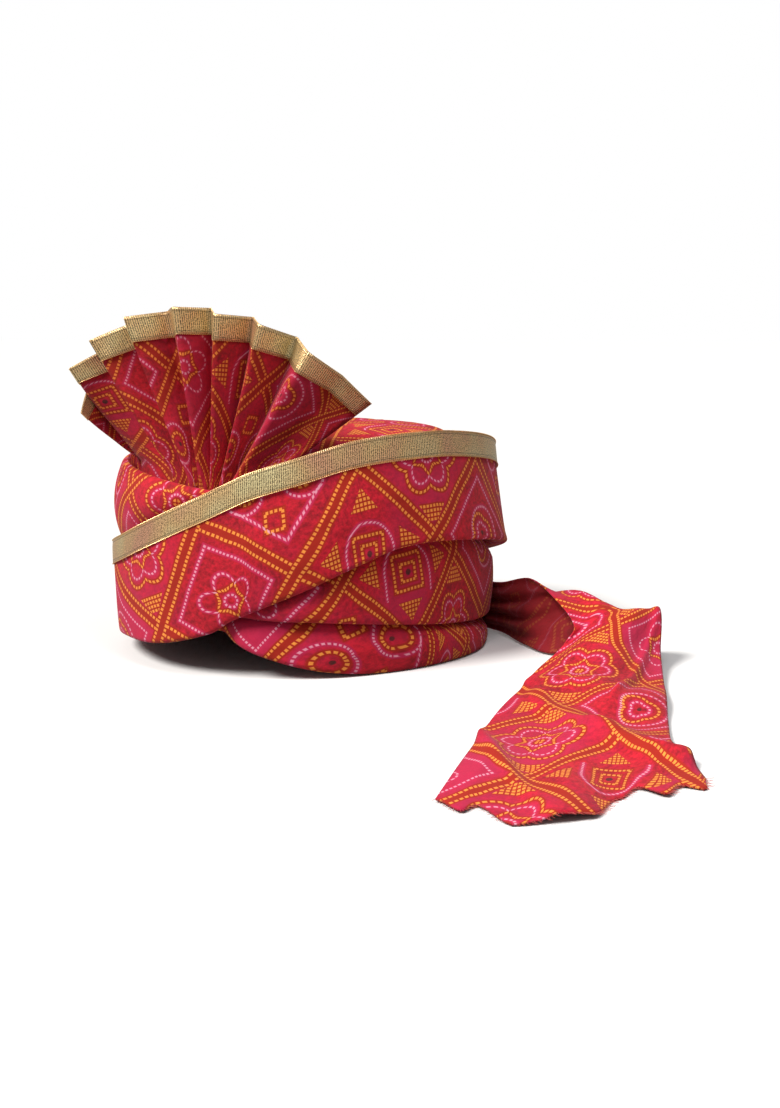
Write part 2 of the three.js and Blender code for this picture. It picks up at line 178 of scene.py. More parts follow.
# Creases of the loose end: share along and across at both ends, heights there and width of the
# crease along, in millimetres
TAIL_CREASES = (
    (0.68, 0.25, 0.915, 0.98, 4.0, 5.5, 0.030),
    (0.56, 0.05, 0.63, 0.60, 3.0, 1.0, 0.022),
    (0.80, 0.00, 0.99, 0.34, 3.5, 1.5, 0.022),
    (0.48, 0.95, 0.66, 0.70, 2.0, 3.5, 0.026),
)


def size_value(description, default):
    """A length in metres"""
    return FloatProperty(description=description, default=default, unit="LENGTH")


def angle_value(description, degrees):
    return FloatProperty(description=description, default=math.radians(degrees), subtype="ANGLE")


def plain_value(description, default):
    return FloatProperty(description=description, default=default)


def count_value(description, default, least=0):
    return IntProperty(description=description, default=default, min=least)


def colour_value(description, *default):
    """A colour as linear red, green and blue"""
    return FloatVectorProperty(description=description, subtype="COLOR", default=default)


class BodySizes(bpy.types.PropertyGroup):
    """Sizes of the wound body"""

    wrap_height: size_value("Highest point of the upper wrap", 126 * MM)
    barrel_height: size_value("Height at which the body is widest", 70 * MM)
    padding: size_value("Thickness of one wound wrap", 4.5 * MM)
    layer_gap: size_value("Room between two wraps", 0.4 * MM)
    roll: size_value("Radius of a wrap's folded edge", 2.4 * MM)
    hem: size_value("Depth of the hems behind a wrap's edges", 12 * MM)
    cloth: size_value("Thickness of the cotton", 0.8 * MM)
    rumple: size_value("Height of the soft creases", 0.7 * MM)
    flare: size_value("How far the upper wrap's lower edge stands out", 7.5 * MM)
    puff: size_value("How far the upper wrap puffs out in front", 2.2 * MM)
    bow: size_value("How far the upper wrap bows out all round", 1.5 * MM)
    fullness: size_value("How much fuller the upper wrap is by the left ear", 2.2 * MM)


class PrintColours(bpy.types.PropertyGroup):
    """Colours and sizes of the tie-dye print"""

    ground: colour_value("Crimson of the cotton", 0.40, 0.006, 0.018)
    rose: colour_value("Pinker ground round the pale dots", 0.50, 0.014, 0.070)
    strip: colour_value("Orange red under the yellow dots", 0.36, 0.014, 0.004)
    yellow: colour_value("Orange yellow of the dots", 0.90, 0.31, 0.05)
    pale: colour_value("Pale pink of the dots", 0.80, 0.33, 0.44)
    dark: colour_value("Dark centres of some motifs", 0.05, 0.015, 0.012)
    # Wrong side: duller than the face, and darkened further as painted shade for undersides and inner
    # faces
    lining: colour_value("Dull wrong side of the cotton", 0.22, 0.008, 0.012)
    cell_width: size_value("Width of a diamond of the print", 82 * MM)
    cell_height: size_value("Height of a diamond of the print", 84 * MM)
    yellow_pitch: size_value("Distance between two yellow dots", 2.3 * MM)
    yellow_dot: size_value("Width of a yellow dot", 1.45 * MM)
    pale_pitch: size_value("Distance between two pale dots", 1.95 * MM)
    pale_dot: size_value("Width of a pale dot", 1.12 * MM)
    weave_pitch: size_value("Distance between two threads", 0.55 * MM)


class RibbonSizes(bpy.types.PropertyGroup):
    """Sizes and colours of the gold ribbon"""

    width: size_value("Width of the ribbon", 13.5 * MM)
    rib_pitch: size_value("Distance between two ribs", 1.15 * MM)
    weft_pitch: size_value("Distance between two threads across the ribs", 0.7 * MM)
    thickness: size_value("Thickness of the ribbon", 0.6 * MM)
    wrap_lift: size_value("Room between the upper wrap and the ribbon's outer face", 0.7 * MM)
    fan_lift: size_value("Distance between the middles of the fan and its ribbon", 1.3 * MM)
    overhang: size_value("How far the ribbon stands over the wrap's edge", 0.4 * MM)
    bead_pitch: size_value("Length of one turn of the twisted edging", 1.1 * MM)
    bead_size: size_value("Thickness of the twisted edging", 0.5 * MM)
    gold: colour_value("Metal thread", 1.0, 0.66, 0.31)
    green_gold: colour_value("Cooler metal thread", 1.0, 0.84, 0.44)
    copper: colour_value("Pinker metal thread", 0.95, 0.50, 0.30)


class FanSizes(bpy.types.PropertyGroup):
    """Sizes of the pleated fan"""

    reach: size_value("Half the span", 86 * MM)
    facing: angle_value("Turn towards the wearer's left", 18)
    bend: size_value("Radius of its curve", 170 * MM)
    stem: size_value("Length tucked inside", 26 * MM)
    rim: size_value("Height over the middle wrap at which it opens", 3 * MM)
    setback: size_value("Room before the brow", 5.5 * MM)
    sideways: size_value("Offset of its foot", 4 * MM)
    pleat: size_value("Pleat depth at the edge", 15 * MM)
    stem_pleat: size_value("Pleat depth in the stem", 4 * MM)
    deeper: size_value("How much deeper a valley is halfway up", 3.5 * MM)
    hidden: size_value("Cloth that each fold back hides", 11 * MM)
    columns: count_value("Faces across a pleat", 6, 2)
    rows: count_value("Faces along a pleat", 40, 8)


class TailSizes(bpy.types.PropertyGroup):
    """Sizes of the loose end"""

    root_angle: plain_value("Where it leaves the wraps, in degrees", 122.0)
    span: size_value("Reach to the side", 185 * MM)
    reach: size_value("Reach to the front", 315 * MM)
    rise: size_value("Height of its fold", 38 * MM)
    gather: size_value("Height of the gathers by its root", 2.2 * MM)
    gathers: plain_value("Number of gathers across", 3.5)
    ripple: size_value("Height of the ripples on the table", 0.9 * MM)
    ripples: plain_value("Number of ripples across", 2.2)
    lowest: size_value("Height of its face where it lies flat", 0.7 * MM)
    thread: size_value("Length of a frayed thread", 3.5 * MM)
    thread_pitch: size_value("Distance between two frayed threads", 0.9 * MM)
    thread_radius: size_value("Half a frayed thread's thickness", 0.08 * MM)
    rows: count_value("Faces along", 150, 20)
    columns: count_value("Faces across", 60, 12)
    seed: count_value("Seed of the frayed threads", 7)


class StageSizes(bpy.types.PropertyGroup):
    """Camera, floor and light"""

    distance: size_value("Camera to the body", 0.8)
    height: size_value("Camera over the table", 0.176)
    azimuth: angle_value("Camera's turn from the forehead", 28)
    aside: angle_value("Camera's look to the right", 3.51)
    down: angle_value("Camera's look down", 9.05)
    lens: plain_value("Focal length in millimetres", 44.48)
    floor: size_value("Half the floor's side", 40.0)
    floor_seen: plain_value("Grey of the floor to the camera", 0.93)
    floor_lit: plain_value("Grey of the floor to the light that it sends back", 0.34)
    key: plain_value("Strength of the key light", 4.0)
    softness: angle_value("Angle that the key light fills", 22)
    tail_light: plain_value("Power of the light over the loose end", 1.2)
    ambient: plain_value("Strength of the light all round", 0.28)


def read_table(columns, rows, column):
    """One column of a table, as an array"""
    place = columns.index(column)
    return np.array([row[place] for row in rows], float)


def read_edge(column, angle):
    """A column of the wrap edges at any angle in degrees, smooth and all the way round"""
    angles = read_table(EDGE_COLUMNS, EDGE_ROWS, "angle")
    values = read_table(EDGE_COLUMNS, EDGE_ROWS, column)
    count = len(angles)
    turns = np.concatenate([angles - 360, angles, angles + 360])
    values = np.tile(values, 3)
    turned = (np.asarray(angle, float) - angles[0]) % 360 + angles[0]
    index = np.clip(np.searchsorted(turns, turned, side="right") - 1, count, 2 * count - 1)
    return hermite(turns, values, index, turned)


def hermite(places, values, index, at):
    """A smooth curve through values, between places index and index + 1"""
    span = places[index + 1] - places[index]
    share = (at - places[index]) / span
    start = (values[index + 1] - values[index - 1]) / (places[index + 1] - places[index - 1]) * span
    end = (values[index + 2] - values[index]) / (places[index + 2] - places[index]) * span
    square = share * share
    cube = square * share
    return (
        (2 * cube - 3 * square + 1) * values[index]
        + (cube - 2 * square + share) * start
        + (3 * square - 2 * cube) * values[index + 1]
        + (cube - square) * end
    )


def smooth_line(points, count):
    """Evenly spaced points on a Catmull-Rom curve through an array of points"""
    points = np.asarray(points, float)
    steps = np.linalg.norm(np.diff(points, axis=0), axis=1) ** 0.5
    places = np.concatenate([[0], np.cumsum(steps)])
    before = 2 * places[0] - places[1]
    after = 2 * places[-1] - places[-2]
    padded = np.vstack([2 * points[0] - points[1], points, 2 * points[-1] - points[-2]])
    places = np.concatenate([[before], places, [after]])
    at = np.linspace(places[1], places[-2], count)
    index = np.clip(np.searchsorted(places, at, side="right") - 1, 1, len(places) - 3)
    return np.stack([hermite(places, padded[:, axis], index, at) for axis in range(3)], axis=1)


def eased(at, places, values):
    """Reads a table with rounded steps from one value to the next"""
    places, values = np.array(places, float), np.array(values, float)
    index = np.clip(np.searchsorted(places, at, side="right") - 1, 0, len(places) - 2)
    share = (at - places[index]) / (places[index + 1] - places[index])
    share = share * share * (3 - 2 * share)
    return values[index] * (1 - share) + values[index + 1] * share


def swell(share):
    """A bump that is 0 at both ends and 1 in the middle"""
    share = np.clip(share, 0, 1)
    return 4 * share * (1 - share)


def edge_height(column, angle):
    """Height of a wrap's edge at an angle"""
    body = bpy.context.scene.pagri_body
    return np.maximum(0, read_edge(column, angle)) * body.wrap_height


def barrel(height):
    """How far the body stands out at a height, as a barrel does"""
    body = bpy.context.scene.pagri_body
    share = (height - body.barrel_height) / body.barrel_height
    return BARREL_INSET * (1 - share * share)


def around_head(angle, outward, height, reach=1.0):
    """Points round the head, at a distance outside the head opening"""
    turn = np.radians(angle)
    width = (HEAD_HALF_WIDTH + outward + barrel(height)) * reach
    length = (HEAD_HALF_LENGTH + outward + barrel(height)) * reach
    x = AXIS[0] + width * np.sin(turn)
    y = AXIS[1] - length * np.cos(turn)
    return np.stack(np.broadcast_arrays(x, y, height), axis=-1)


def layer_start(number):
    """Distance outside the head opening where a wrap starts, counted from the inside"""
    body = bpy.context.scene.pagri_body
    return CAP_WALL + body.layer_gap + number * (body.padding + body.layer_gap)


def add_object(name, data, place=None, aim=None):
    """Adds an object, at a place and looking along a line where they are given"""
    piece = bpy.data.objects.new(name, data)
    if place is not None:
        piece.location = place
    if aim is not None:
        piece.rotation_euler = aim.to_track_quat("-Z", "Y").to_euler()
    bpy.context.collection.objects.link(piece)
    return piece


def grid_piece(name, points, cloth, closed=False, materials=()):
    """A sheet from a grid of points, with its place on the cloth as a UV map"""
    rows, columns = points.shape[:2]
    wrapped = rows - 1 if closed else rows
    vertices = points[:wrapped].reshape(-1, 3)
    faces, places = [], []
    for row in range(rows - 1):
        for column in range(columns - 1):
            corners = ((row, column), (row + 1, column), (row + 1, column + 1), (row, column + 1))
            faces.append([(r % wrapped) * columns + c for r, c in corners])
            places.extend(corners)
    mesh = bpy.data.meshes.new(name)
    mesh.from_pydata(vertices.tolist(), [], faces)
    layer = mesh.uv_layers.new(name="Cloth")
    where = np.array([cloth[r, c] for r, c in places], np.float32)
    layer.data.foreach_set("uv", where.ravel())
    mesh.shade_smooth()
    mesh.update()
    for material in materials:
        mesh.materials.append(material)
    return add_object(name, mesh)


def apply_modifiers(piece):
    """Turns a piece with its modifiers into a plain mesh"""
    graph = bpy.context.evaluated_depsgraph_get()
    mesh = bpy.data.meshes.new_from_object(piece.evaluated_get(graph))
    piece.modifiers.clear()
    piece.data = mesh
    mesh.name = piece.name


def thicken(piece, thickness, offset=-1.0, inner_slot=0):
    """Gives a sheet its thickness, inwards by default, with another finish on its inner face"""
    modifier = piece.modifiers.new("Cloth", "SOLIDIFY")
    modifier.thickness = thickness
    modifier.offset = offset
    modifier.use_even_offset = False
    modifier.material_offset = inner_slot
    apply_modifiers(piece)


def cloth_length(points, axis):
    """Distance along a grid of points in one direction, from its first row or column"""
    steps = np.linalg.norm(np.diff(points, axis=axis), axis=2)
    start = np.zeros_like(np.take(steps, [0], axis=axis))
    return np.concatenate([start, np.cumsum(steps, axis=axis)], axis=axis)


class Field:
    """A number at each point of a surface, worked out by Math nodes"""

    def __init__(self, tree, socket):
        self.tree = tree
        self.socket = socket

    def apply(self, operation, *others):
        node = self.tree.nodes.new("ShaderNodeMath")
        node.operation = operation
        for place, value in enumerate((self, *others)):
            if isinstance(value, Field):
                self.tree.links.new(value.socket, node.inputs[place])
            else:
                node.inputs[place].default_value = value
        return Field(self.tree, node.outputs[0])

    __add__ = partialmethod(apply, "ADD")
    __sub__ = partialmethod(apply, "SUBTRACT")
    __mul__ = partialmethod(apply, "MULTIPLY")
    __truediv__ = partialmethod(apply, "DIVIDE")
    __abs__ = partialmethod(apply, "ABSOLUTE")
    least = partialmethod(apply, "MINIMUM")
    most = partialmethod(apply, "MAXIMUM")
    floor = partialmethod(apply, "FLOOR")
    part = partialmethod(apply, "FRACT")

    def from_centre(self, other):
        """Distance from the origin to the point at self and other"""
        return (self * self + other * other).apply("SQRT")

    def turn_to(self, other):
        """Angle of the point at other and self, as a share of a turn"""
        return self.apply("ARCTAN2", other) / (2 * math.pi)

    def wave(self, turns=1):
        """Cosine of self, a share of a turn, taken a number of times round"""
        return (self * (2 * math.pi * turns)).apply("COSINE")

    def clamped(self):
        """Self, kept between 0 and 1"""
        self.socket.node.use_clamp = True
        return self

    def over(self, soft=0.3):
        """1 where self is above 0, 0 where it is below, with a soft edge in millimetres"""
        return (self * (1 / soft) + 0.5).clamped()

    def under(self, limit, soft=0.3):
        """1 where self is below a limit, 0 where it is above, with the same soft edge"""
        return (self * -1.0 + limit).over(soft)


def set_inputs(node, **values):
    """Sets some of a node's inputs by name"""
    for name, value in values.items():
        node.inputs[name.replace("_", " ")].default_value = value
    return node


def add_node(tree, kind, **values):
    return set_inputs(tree.nodes.new(kind), **values)


def noise(tree, place, scale, detail, roughness=0.5):
    """Noise at a place on the cloth"""
    node = add_node(tree, "ShaderNodeTexNoise", Scale=scale, Detail=detail, Roughness=roughness)
    tree.links.new(place, node.inputs["Vector"])
    return Field(tree, node.outputs[0])


def split_place(tree, place):
    """A place along and across the cloth, as two fields"""
    split = tree.nodes.new("ShaderNodeSeparateXYZ")
    tree.links.new(place, split.inputs[0])
    return Field(tree, split.outputs[0]), Field(tree, split.outputs[1])


def shaded(colour, share):
    """A darker or brighter shade of a colour"""
    return [part * share for part in colour]


class PrintDrawing:
    """Draws the dotted lines of the print and keeps the masks that they add up to"""

    def __init__(self, zero, pitches, dots):
        self.pitches = pitches
        self.dots = dots
        self.masks = dict.fromkeys(("Yellow", "Pale", "Strip", "Rose", "Dark"), zero)

    def add(self, name, mask):
        self.masks[name] = self.masks[name].most(mask)

    def dotted(self, colour, distance, along, only=None, pitch=None):
        """Dots on a line: its distance, and the distance along it, in millimetres"""
        pitch = pitch or self.pitches[colour]
        half = self.dots[colour] / 2
        phase = abs((along / pitch).part() - 0.5) * -pitch + half
        dots = abs(distance).under(half).least(phase.over())
        under = abs(distance).under(pitch / 2 + 0.5, 0.8)
        if only is not None:
            dots = dots * only
            under = under * only
        self.add(colour, dots)
        self.add("Strip" if colour == "Yellow" else "Rose", under)

    def ring(self, colour, x, y, radius, only=None, lobes=0, depth=0.0, turned=0.0):
        """Dots round a centre, on a circle or on a scalloped line"""
        turn = y.turn_to(x)
        distance = x.from_centre(y) - radius
        if lobes:
            distance = distance - abs((turn + turned).wave(lobes / 2)) * depth
        length = 2 * math.pi * (radius + abs(depth) / 2)
        count = max(3, round(length / self.pitches[colour]))
        self.dotted(colour, distance, turn * length, only, length / count)

    def box(self, colour, x, y, half, only=None):
        """Dots round a square"""
        distance = abs(x).most(abs(y)) - half
        self.dotted(colour, distance, abs(x).least(abs(y)), only)


def print_group():
    """Node group of the tie-dye print: double dotted diamonds with flowers, squares and leaf shapes"""
    colours = bpy.context.scene.pagri_print
    width, height = colours.cell_width / MM, colours.cell_height / MM
    tree = bpy.data.node_groups.new("bandhani_print", "ShaderNodeTree")
    tree.interface.new_socket("Cloth", in_out="INPUT", socket_type="NodeSocketVector")
    source = tree.nodes.new("NodeGroupInput")
    waver = noise(tree, source.outputs[0], 70.0, 1.0).socket.node
    shift = tree.nodes.new("ShaderNodeVectorMath")
    shift.operation = "MULTIPLY_ADD"
    shift.inputs[1].default_value = (1.3 * MM, 1.3 * MM, 0.0)
    tree.links.new(waver.outputs["Color"], shift.inputs[0])
    tree.links.new(source.outputs[0], shift.inputs[2])
    u, v = (place * (1 / MM) for place in split_place(tree, shift.outputs[0]))
    pitches = {"Yellow": colours.yellow_pitch / MM, "Pale": colours.pale_pitch / MM}
    dots = {"Yellow": colours.yellow_dot / MM, "Pale": colours.pale_dot / MM}
    drawing = PrintDrawing(u * 0.0, pitches, dots)

    # Lattice of diamonds and the place of this point in its cell
    side = 1 / math.hypot(1 / width, 1 / height)
    rising = u / width + v / height
    falling = u / width - v / height
    off_rising = abs((rising + 0.5).part() - 0.5) * side
    off_falling = abs((falling + 0.5).part() - 0.5) * side
    drawing.dotted("Yellow", off_rising - 2.4, falling * side)
    drawing.dotted("Yellow", off_falling - 2.4, rising * side, (off_rising - 3.2).over())
    drawing.add("Strip", off_rising.least(off_falling).under(3.7, 0.6))
    row = rising.floor() - falling.floor()
    place = rising.floor() + falling.floor() + 1.0
    x = u - place * (width / 2)
    y = v - row * (height / 2)
    inner_rising = (rising.part() - 0.5) * side
    inner_falling = (falling.part() - 0.5) * side

    # Which motif the cell holds
    odd = (row * 0.5).part() * 2.0
    even = odd * -1.0 + 1.0
    leafy = abs((place / 4).part() - 0.25).under(0.1, 0.01) * even
    scalloped = even - leafy
    third = ((place + row - 1.0) / 6 + 0.02).part()
    flower = third.under(0.1, 0.01) * odd
    squares = abs(third - 0.353).under(0.1, 0.01) * odd
    paisley = odd - flower - squares

    # Inset diamond of pale dots round the flower and the paisley
    drawing.box("Pale", inner_rising, inner_falling, 20.6, flower + paisley)

    # Flower of five lobes with a star and a ring inside
    drawing.ring("Pale", x, y, 8.8, flower, lobes=5, depth=5.8, turned=0.05)
    drawing.ring("Yellow", x, y + 0.5, 8.4, flower, lobes=5, depth=-2.6, turned=0.05)
    drawing.ring("Pale", x, y, 3.2, flower)

    # Nested squares under an arch, with triangles of dots round them
    drawing.box("Yellow", x, y - 3.0, 9.2, squares)
    drawing.box("Yellow", x, y - 3.0, 4.6, squares)
    arch_top = (y - 3.0).least(0.0)
    drawing.dotted("Pale", x.from_centre(arch_top) - 15.5, y + x * 0.6, squares * y.under(16))

    def triangle(out, beside, base, side, end):
        """Inside a triangle that narrows outwards, from its base to its end"""
        return (out - base).over() * (out * -0.7 + side - beside).over() * out.under(end)

    beside = triangle(abs(x), abs(y), 19.5, 22.0, 31.0)
    above = triangle(abs(y), abs(x), 18.5, 21.0, 30.0)
    column = ((x / 2.2).part() - 0.5) * 2.2
    drawing.dotted("Yellow", column, y, squares * beside.most(above))
    drawing.add("Dark", x.from_centre(y - 3.0).under(1.7) * squares)

    # Large scalloped flower with petals, a star and rings inside
    drawing.ring("Yellow", x, y, 16.2, scalloped, lobes=6, depth=5.0)
    drawing.ring("Pale", x, y, 11.4, scalloped, lobes=6, depth=5.2)
    drawing.ring("Yellow", x, y, 10.4, scalloped, lobes=6, depth=-3.4)
    drawing.ring("Pale", x, y, 4.6, scalloped)
    drawing.ring("Yellow", x, y, 1.5, scalloped)
    drawing.dotted("Yellow", column, y, scalloped * triangle(abs(y), abs(x), 25.0, 26.5, 34.0))

    # Pair of leaf shapes on either side of a stem of squares
    mirror = abs(x) - 12.5
    drawing.ring("Pale", mirror, y + 3.0, 7.0, leafy, lobes=1, depth=5.0)
    drawing.ring("Yellow", mirror, y + 3.0, 4.0, leafy, lobes=1, depth=2.6)
    drawing.box("Yellow", x + y * 0.2, y - 15.0, 4.4, leafy)
    drawing.box("Yellow", x, y + 18.0, 4.4, leafy)
    drawing.dotted("Pale", abs(x) * 0.7 + y * 0.7 - 18.0, abs(x), leafy * abs(x).under(22))
    drawing.add("Dark", mirror.from_centre(y + 3.0).under(1.2) * leafy)

    # Paisley in the inset diamond
    drawing.ring("Pale", x, y, 9.0, paisley, lobes=1, depth=6.6)
    drawing.ring("Yellow", x, y, 7.6, paisley, lobes=3, depth=3.0)
    drawing.ring("Pale", x, y, 4.0, paisley, lobes=3, depth=1.6)
    drawing.add("Dark", x.from_centre(y).under(1.2) * paisley)

    result = tree.nodes.new("NodeGroupOutput")
    for name, mask in drawing.masks.items():
        tree.interface.new_socket(name, in_out="OUTPUT", socket_type="NodeSocketFloat")
        tree.links.new(mask.socket, result.inputs[name])
    return tree


def new_material(name):
    """A material, its node tree and its shader node"""
    material = bpy.data.materials.new(name)
    material.use_nodes = True
    tree = material.node_tree
    return material, tree, tree.nodes["Principled BSDF"]


def mix_colour(tree, factor, first, second, blend="MIX"):
    """A colour mixed from two, each a socket or a fixed colour"""
    node = tree.nodes.new("ShaderNodeMix")
    node.data_type = "RGBA"
    node.blend_type = blend
    slots = (node.inputs[0], node.inputs[6], node.inputs[7])
    for slot, value in zip(slots, (factor, first, second)):
        if isinstance(value, Field):
            value = value.socket
        if isinstance(value, bpy.types.NodeSocket):
            tree.links.new(value, slot)
        elif isinstance(value, float):
            slot.default_value = value
        else:
            slot.default_value = (*value, 1.0)
    return node.outputs[2]


def add_bump(tree, height, strength, distance, target):
    """A bump node from a height to a normal input"""
    bump = add_node(tree, "ShaderNodeBump", Strength=strength, Distance=distance)
    tree.links.new(height.socket, bump.inputs["Height"])
    tree.links.new(bump.outputs[0], target)
    return bump


def cloth_place(tree, offset=(0.0, 0.0), turn=0.0, scale=(1.0, 1.0)):
    """A piece's place on the cloth, from its UV map, scaled, turned and shifted"""
    source = tree.nodes.new("ShaderNodeUVMap")
    source.uv_map = "Cloth"
    mapping = add_node(
        tree, "ShaderNodeMapping", Location=(*offset, 0.0), Rotation=(0.0, 0.0, turn), Scale=(*scale, 1.0)
    )
    tree.links.new(source.outputs[0], mapping.inputs[0])
    return mapping.outputs[0]


def cotton(name, offset, turn=0.0, scale=(1.0, 1.0), wrong_side=False, deeper=1.0):
    """Printed cotton: the print, uneven dye, a weave and small creases, and, where deeper is below 1, a
    painted shade that darkens the whole piece
    """
    colours = bpy.context.scene.pagri_print
    material, tree, shader = new_material(name)
    place = cloth_place(tree, offset, turn, scale)
    printed = tree.nodes.new("ShaderNodeGroup")
    printed.node_tree = bpy.data.node_groups.get("bandhani_print") or print_group()
    tree.links.new(place, printed.inputs[0])

    dye, grain = noise(tree, place, 38.0, 5.0, 0.6), noise(tree, place, 420.0, 3.0, 0.7)
    depth = ((dye - 0.5) * 2.2 + (grain - 0.5) * 2.6 + 0.5).clamped()
    pinker = ((noise(tree, place, 13.0, 2.0) - 0.5) * 5.0 + 0.2).clamped()
    colour = mix_colour(tree, depth, shaded(colours.ground, 0.6), shaded(colours.ground, 1.55))
    colour = mix_colour(tree, pinker * 0.85, colour, colours.rose)
    for mask in ("Rose", "Strip"):
        colour = mix_colour(tree, printed.outputs[mask], colour, getattr(colours, mask.lower()))
    for mask in ("Yellow", "Pale", "Dark"):
        uneven = (noise(tree, place, 700.0, 1.0) * 0.5 + 0.62).clamped()
        covered = Field(tree, printed.outputs[mask]) * uneven
        colour = mix_colour(tree, covered, colour, getattr(colours, mask.lower()))
    # The wrong side: the print mostly hidden under the lining colour, which carries a painted shade
    if wrong_side:
        colour = mix_colour(tree, 0.86, colour, colours.lining)
    # Painted shade: where deeper is below 1, the whole colour is darkened, green and blue more than red
    if deeper < 1:
        colour = mix_colour(tree, 1.0, colour, (deeper, deeper * deeper, deeper * deeper), "MULTIPLY")
    tree.links.new(colour, shader.inputs["Base Color"])
    set_inputs(shader, Roughness=0.78, Specular_IOR_Level=0.25)
    set_inputs(shader, Sheen_Weight=0.12, Sheen_Roughness=0.5, Sheen_Tint=(1.0, 0.55, 0.55, 1.0))

    along, across = split_place(tree, place)
    threads = (along / colours.weave_pitch).wave() * (across / colours.weave_pitch).wave()
    threads = threads * 0.5 + noise(tree, place, 900.0, 2.0) * 1.2
    weave = add_bump(tree, threads, 0.35, 0.12 * MM, shader.inputs["Normal"])
    add_bump(tree, noise(tree, place, 42.0, 3.0, 0.55), 0.7, 3.0 * MM, weave.inputs["Normal"])
    return material


def gold_ribbon(name):
    """Woven metal ribbon: ribs across, plain selvedges, a colour that drifts along it, and painted light:
    bright rib tops and glints, and painted shade in the grooves between the ribs
    """
    sizes = bpy.context.scene.pagri_ribbon
    material, tree, shader = new_material(name)
    place = cloth_place(tree)
    along, across = split_place(tree, place)
    rib = (along / sizes.rib_pitch).wave() * 0.5 + 0.5
    weft = (across / sizes.weft_pitch).wave() * 0.5 + 0.5
    half = sizes.width / 2
    off_middle = abs(across - half)
    selvedge = ((off_middle - (half - 1.3 * MM)) * (1 / (0.2 * MM))).clamped()
    braid = (abs(off_middle - (half - 1.7 * MM)) * (-1 / (0.3 * MM)) + 1.0).clamped()
    spark = noise(tree, place, 1500.0, 2.0)
    # Painted light: rib tops and random glints painted bright, the grooves between the ribs painted near
    # black as shade
    lit = (rib * 0.85 + (spark - 0.5) * 3.6 + 0.25).clamped()
    ramp = tree.nodes.new("ShaderNodeValToRGB")
    ramp.color_ramp.elements.new(0.5)
    stops = ((0.34, sizes.green_gold), (0.5, sizes.gold), (0.66, sizes.copper))
    for element, (at, colour) in zip(ramp.color_ramp.elements, stops):
        element.position = at
        element.color = (*colour, 1.0)
    tree.links.new(noise(tree, place, 26.0, 2.0).socket, ramp.inputs[0])
    # Near-black gold: the painted shade between the ribs, and the colour of the dark line by each edge
    rib_shade_and_braid_line = shaded(sizes.gold, 0.05)
    colour = mix_colour(tree, lit, rib_shade_and_braid_line, ramp.outputs[0])
    colour = mix_colour(tree, selvedge * 0.45, colour, shaded(sizes.gold, 0.5))
    colour = mix_colour(tree, braid * 0.8, colour, rib_shade_and_braid_line)
    tree.links.new(colour, shader.inputs["Base Color"])
    set_inputs(shader, Metallic=0.6, Roughness=0.3)
    add_bump(tree, rib * 0.8 + weft * 0.2 + spark * 0.6, 0.7, 0.25 * MM, shader.inputs["Normal"])
    return material


def thread_material(name, colour, metallic=0.0, roughness=0.6):
    """Plain spun thread with an uneven shade along it"""
    material, tree, shader = new_material(name)
    source = tree.nodes.new("ShaderNodeTexCoord")
    shade = noise(tree, source.outputs["Object"], 500.0, 2.0)
    mixed = mix_colour(tree, shade, shaded(colour, 0.55), shaded(colour, 1.25))
    tree.links.new(mixed, shader.inputs["Base Color"])
    set_inputs(shader, Metallic=metallic, Roughness=roughness)
    return material


def ring_angles():
    """Angles round the head, starting and ending at the back"""
    return np.linspace(-180.0, 180.0, 289)


def rumples(angle, height, seed):
    """Soft creases that run round the head at a slant"""
    body = bpy.context.scene.pagri_body
    turn = np.radians(angle)
    climb = height / body.wrap_height
    waves = ((0.50, 5, 6.0, 1.0), (0.30, 9, -9.0, 2.1), (0.22, 17, 14.0, 0.7))
    return body.rumple * sum(
        high * np.sin(round_head * turn + slant * climb + shift * seed)
        for high, round_head, slant, shift in waves
    )


def wrap_cloth(angles, heights, column):
    """Place of each point on the wrap's cloth, along and down from an edge"""
    middle = around_head(angles, layer_start(3), 0.5 * heights.mean())[:, :2]
    step = np.linalg.norm(np.diff(middle, axis=0), axis=1)
    edge = edge_height(column, angles)
    rise = np.diff(edge)
    along = np.concatenate([[0], np.cumsum(np.hypot(step, rise))])
    along -= np.interp(PRINT_START, angles, along)
    around = np.concatenate([[0], np.cumsum(step)])
    slope = np.arctan(np.gradient(edge, around))
    drop = edge[:, None] - heights
    back, down = drop * np.sin(slope)[:, None], drop * np.cos(slope)[:, None]
    return np.stack([along[:, None] - back, down], axis=2)


def wrap_section(bottom, top, start, samples=30):
    """Heights and distances of a wrap's outer face between its two rolled edges"""
    body = bpy.context.scene.pagri_body
    share = 0.5 - 0.5 * np.cos(np.linspace(0, math.pi, samples))
    heights = bottom[:, None] + (top - bottom)[:, None] * share[None, :]
    near_edge = np.minimum(heights - bottom[:, None], top[:, None] - heights)
    missing = np.clip(body.roll - near_edge, 0, body.roll)
    outward = start + body.padding - body.roll + np.sqrt(body.roll**2 - missing**2)
    return heights, outward


def with_hems(heights, outward, start):
    """Adds the hems that turn inwards behind a wrap's two edges"""
    body = bpy.context.scene.pagri_body
    inner = start + 0.25 * body.padding
    bottom, top = heights[:, :1], heights[:, -1:]
    flat = np.full_like(bottom, inner)
    low, high = 0.5 * (inner + outward[:, :1]), 0.5 * (inner + outward[:, -1:])
    steps = np.array([[body.hem, 3 * MM, 0.5 * MM]])
    return (
        np.concatenate([bottom + steps, heights, top - steps[:, ::-1]], axis=1),
        np.concatenate([flat, flat, low, outward, high, flat, flat], axis=1),
    )


def finish_sheet(piece, node):
    """Attaches a sheet of cloth to the root body and hides the part that it stands for"""
    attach(piece, "root")
    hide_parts(node)


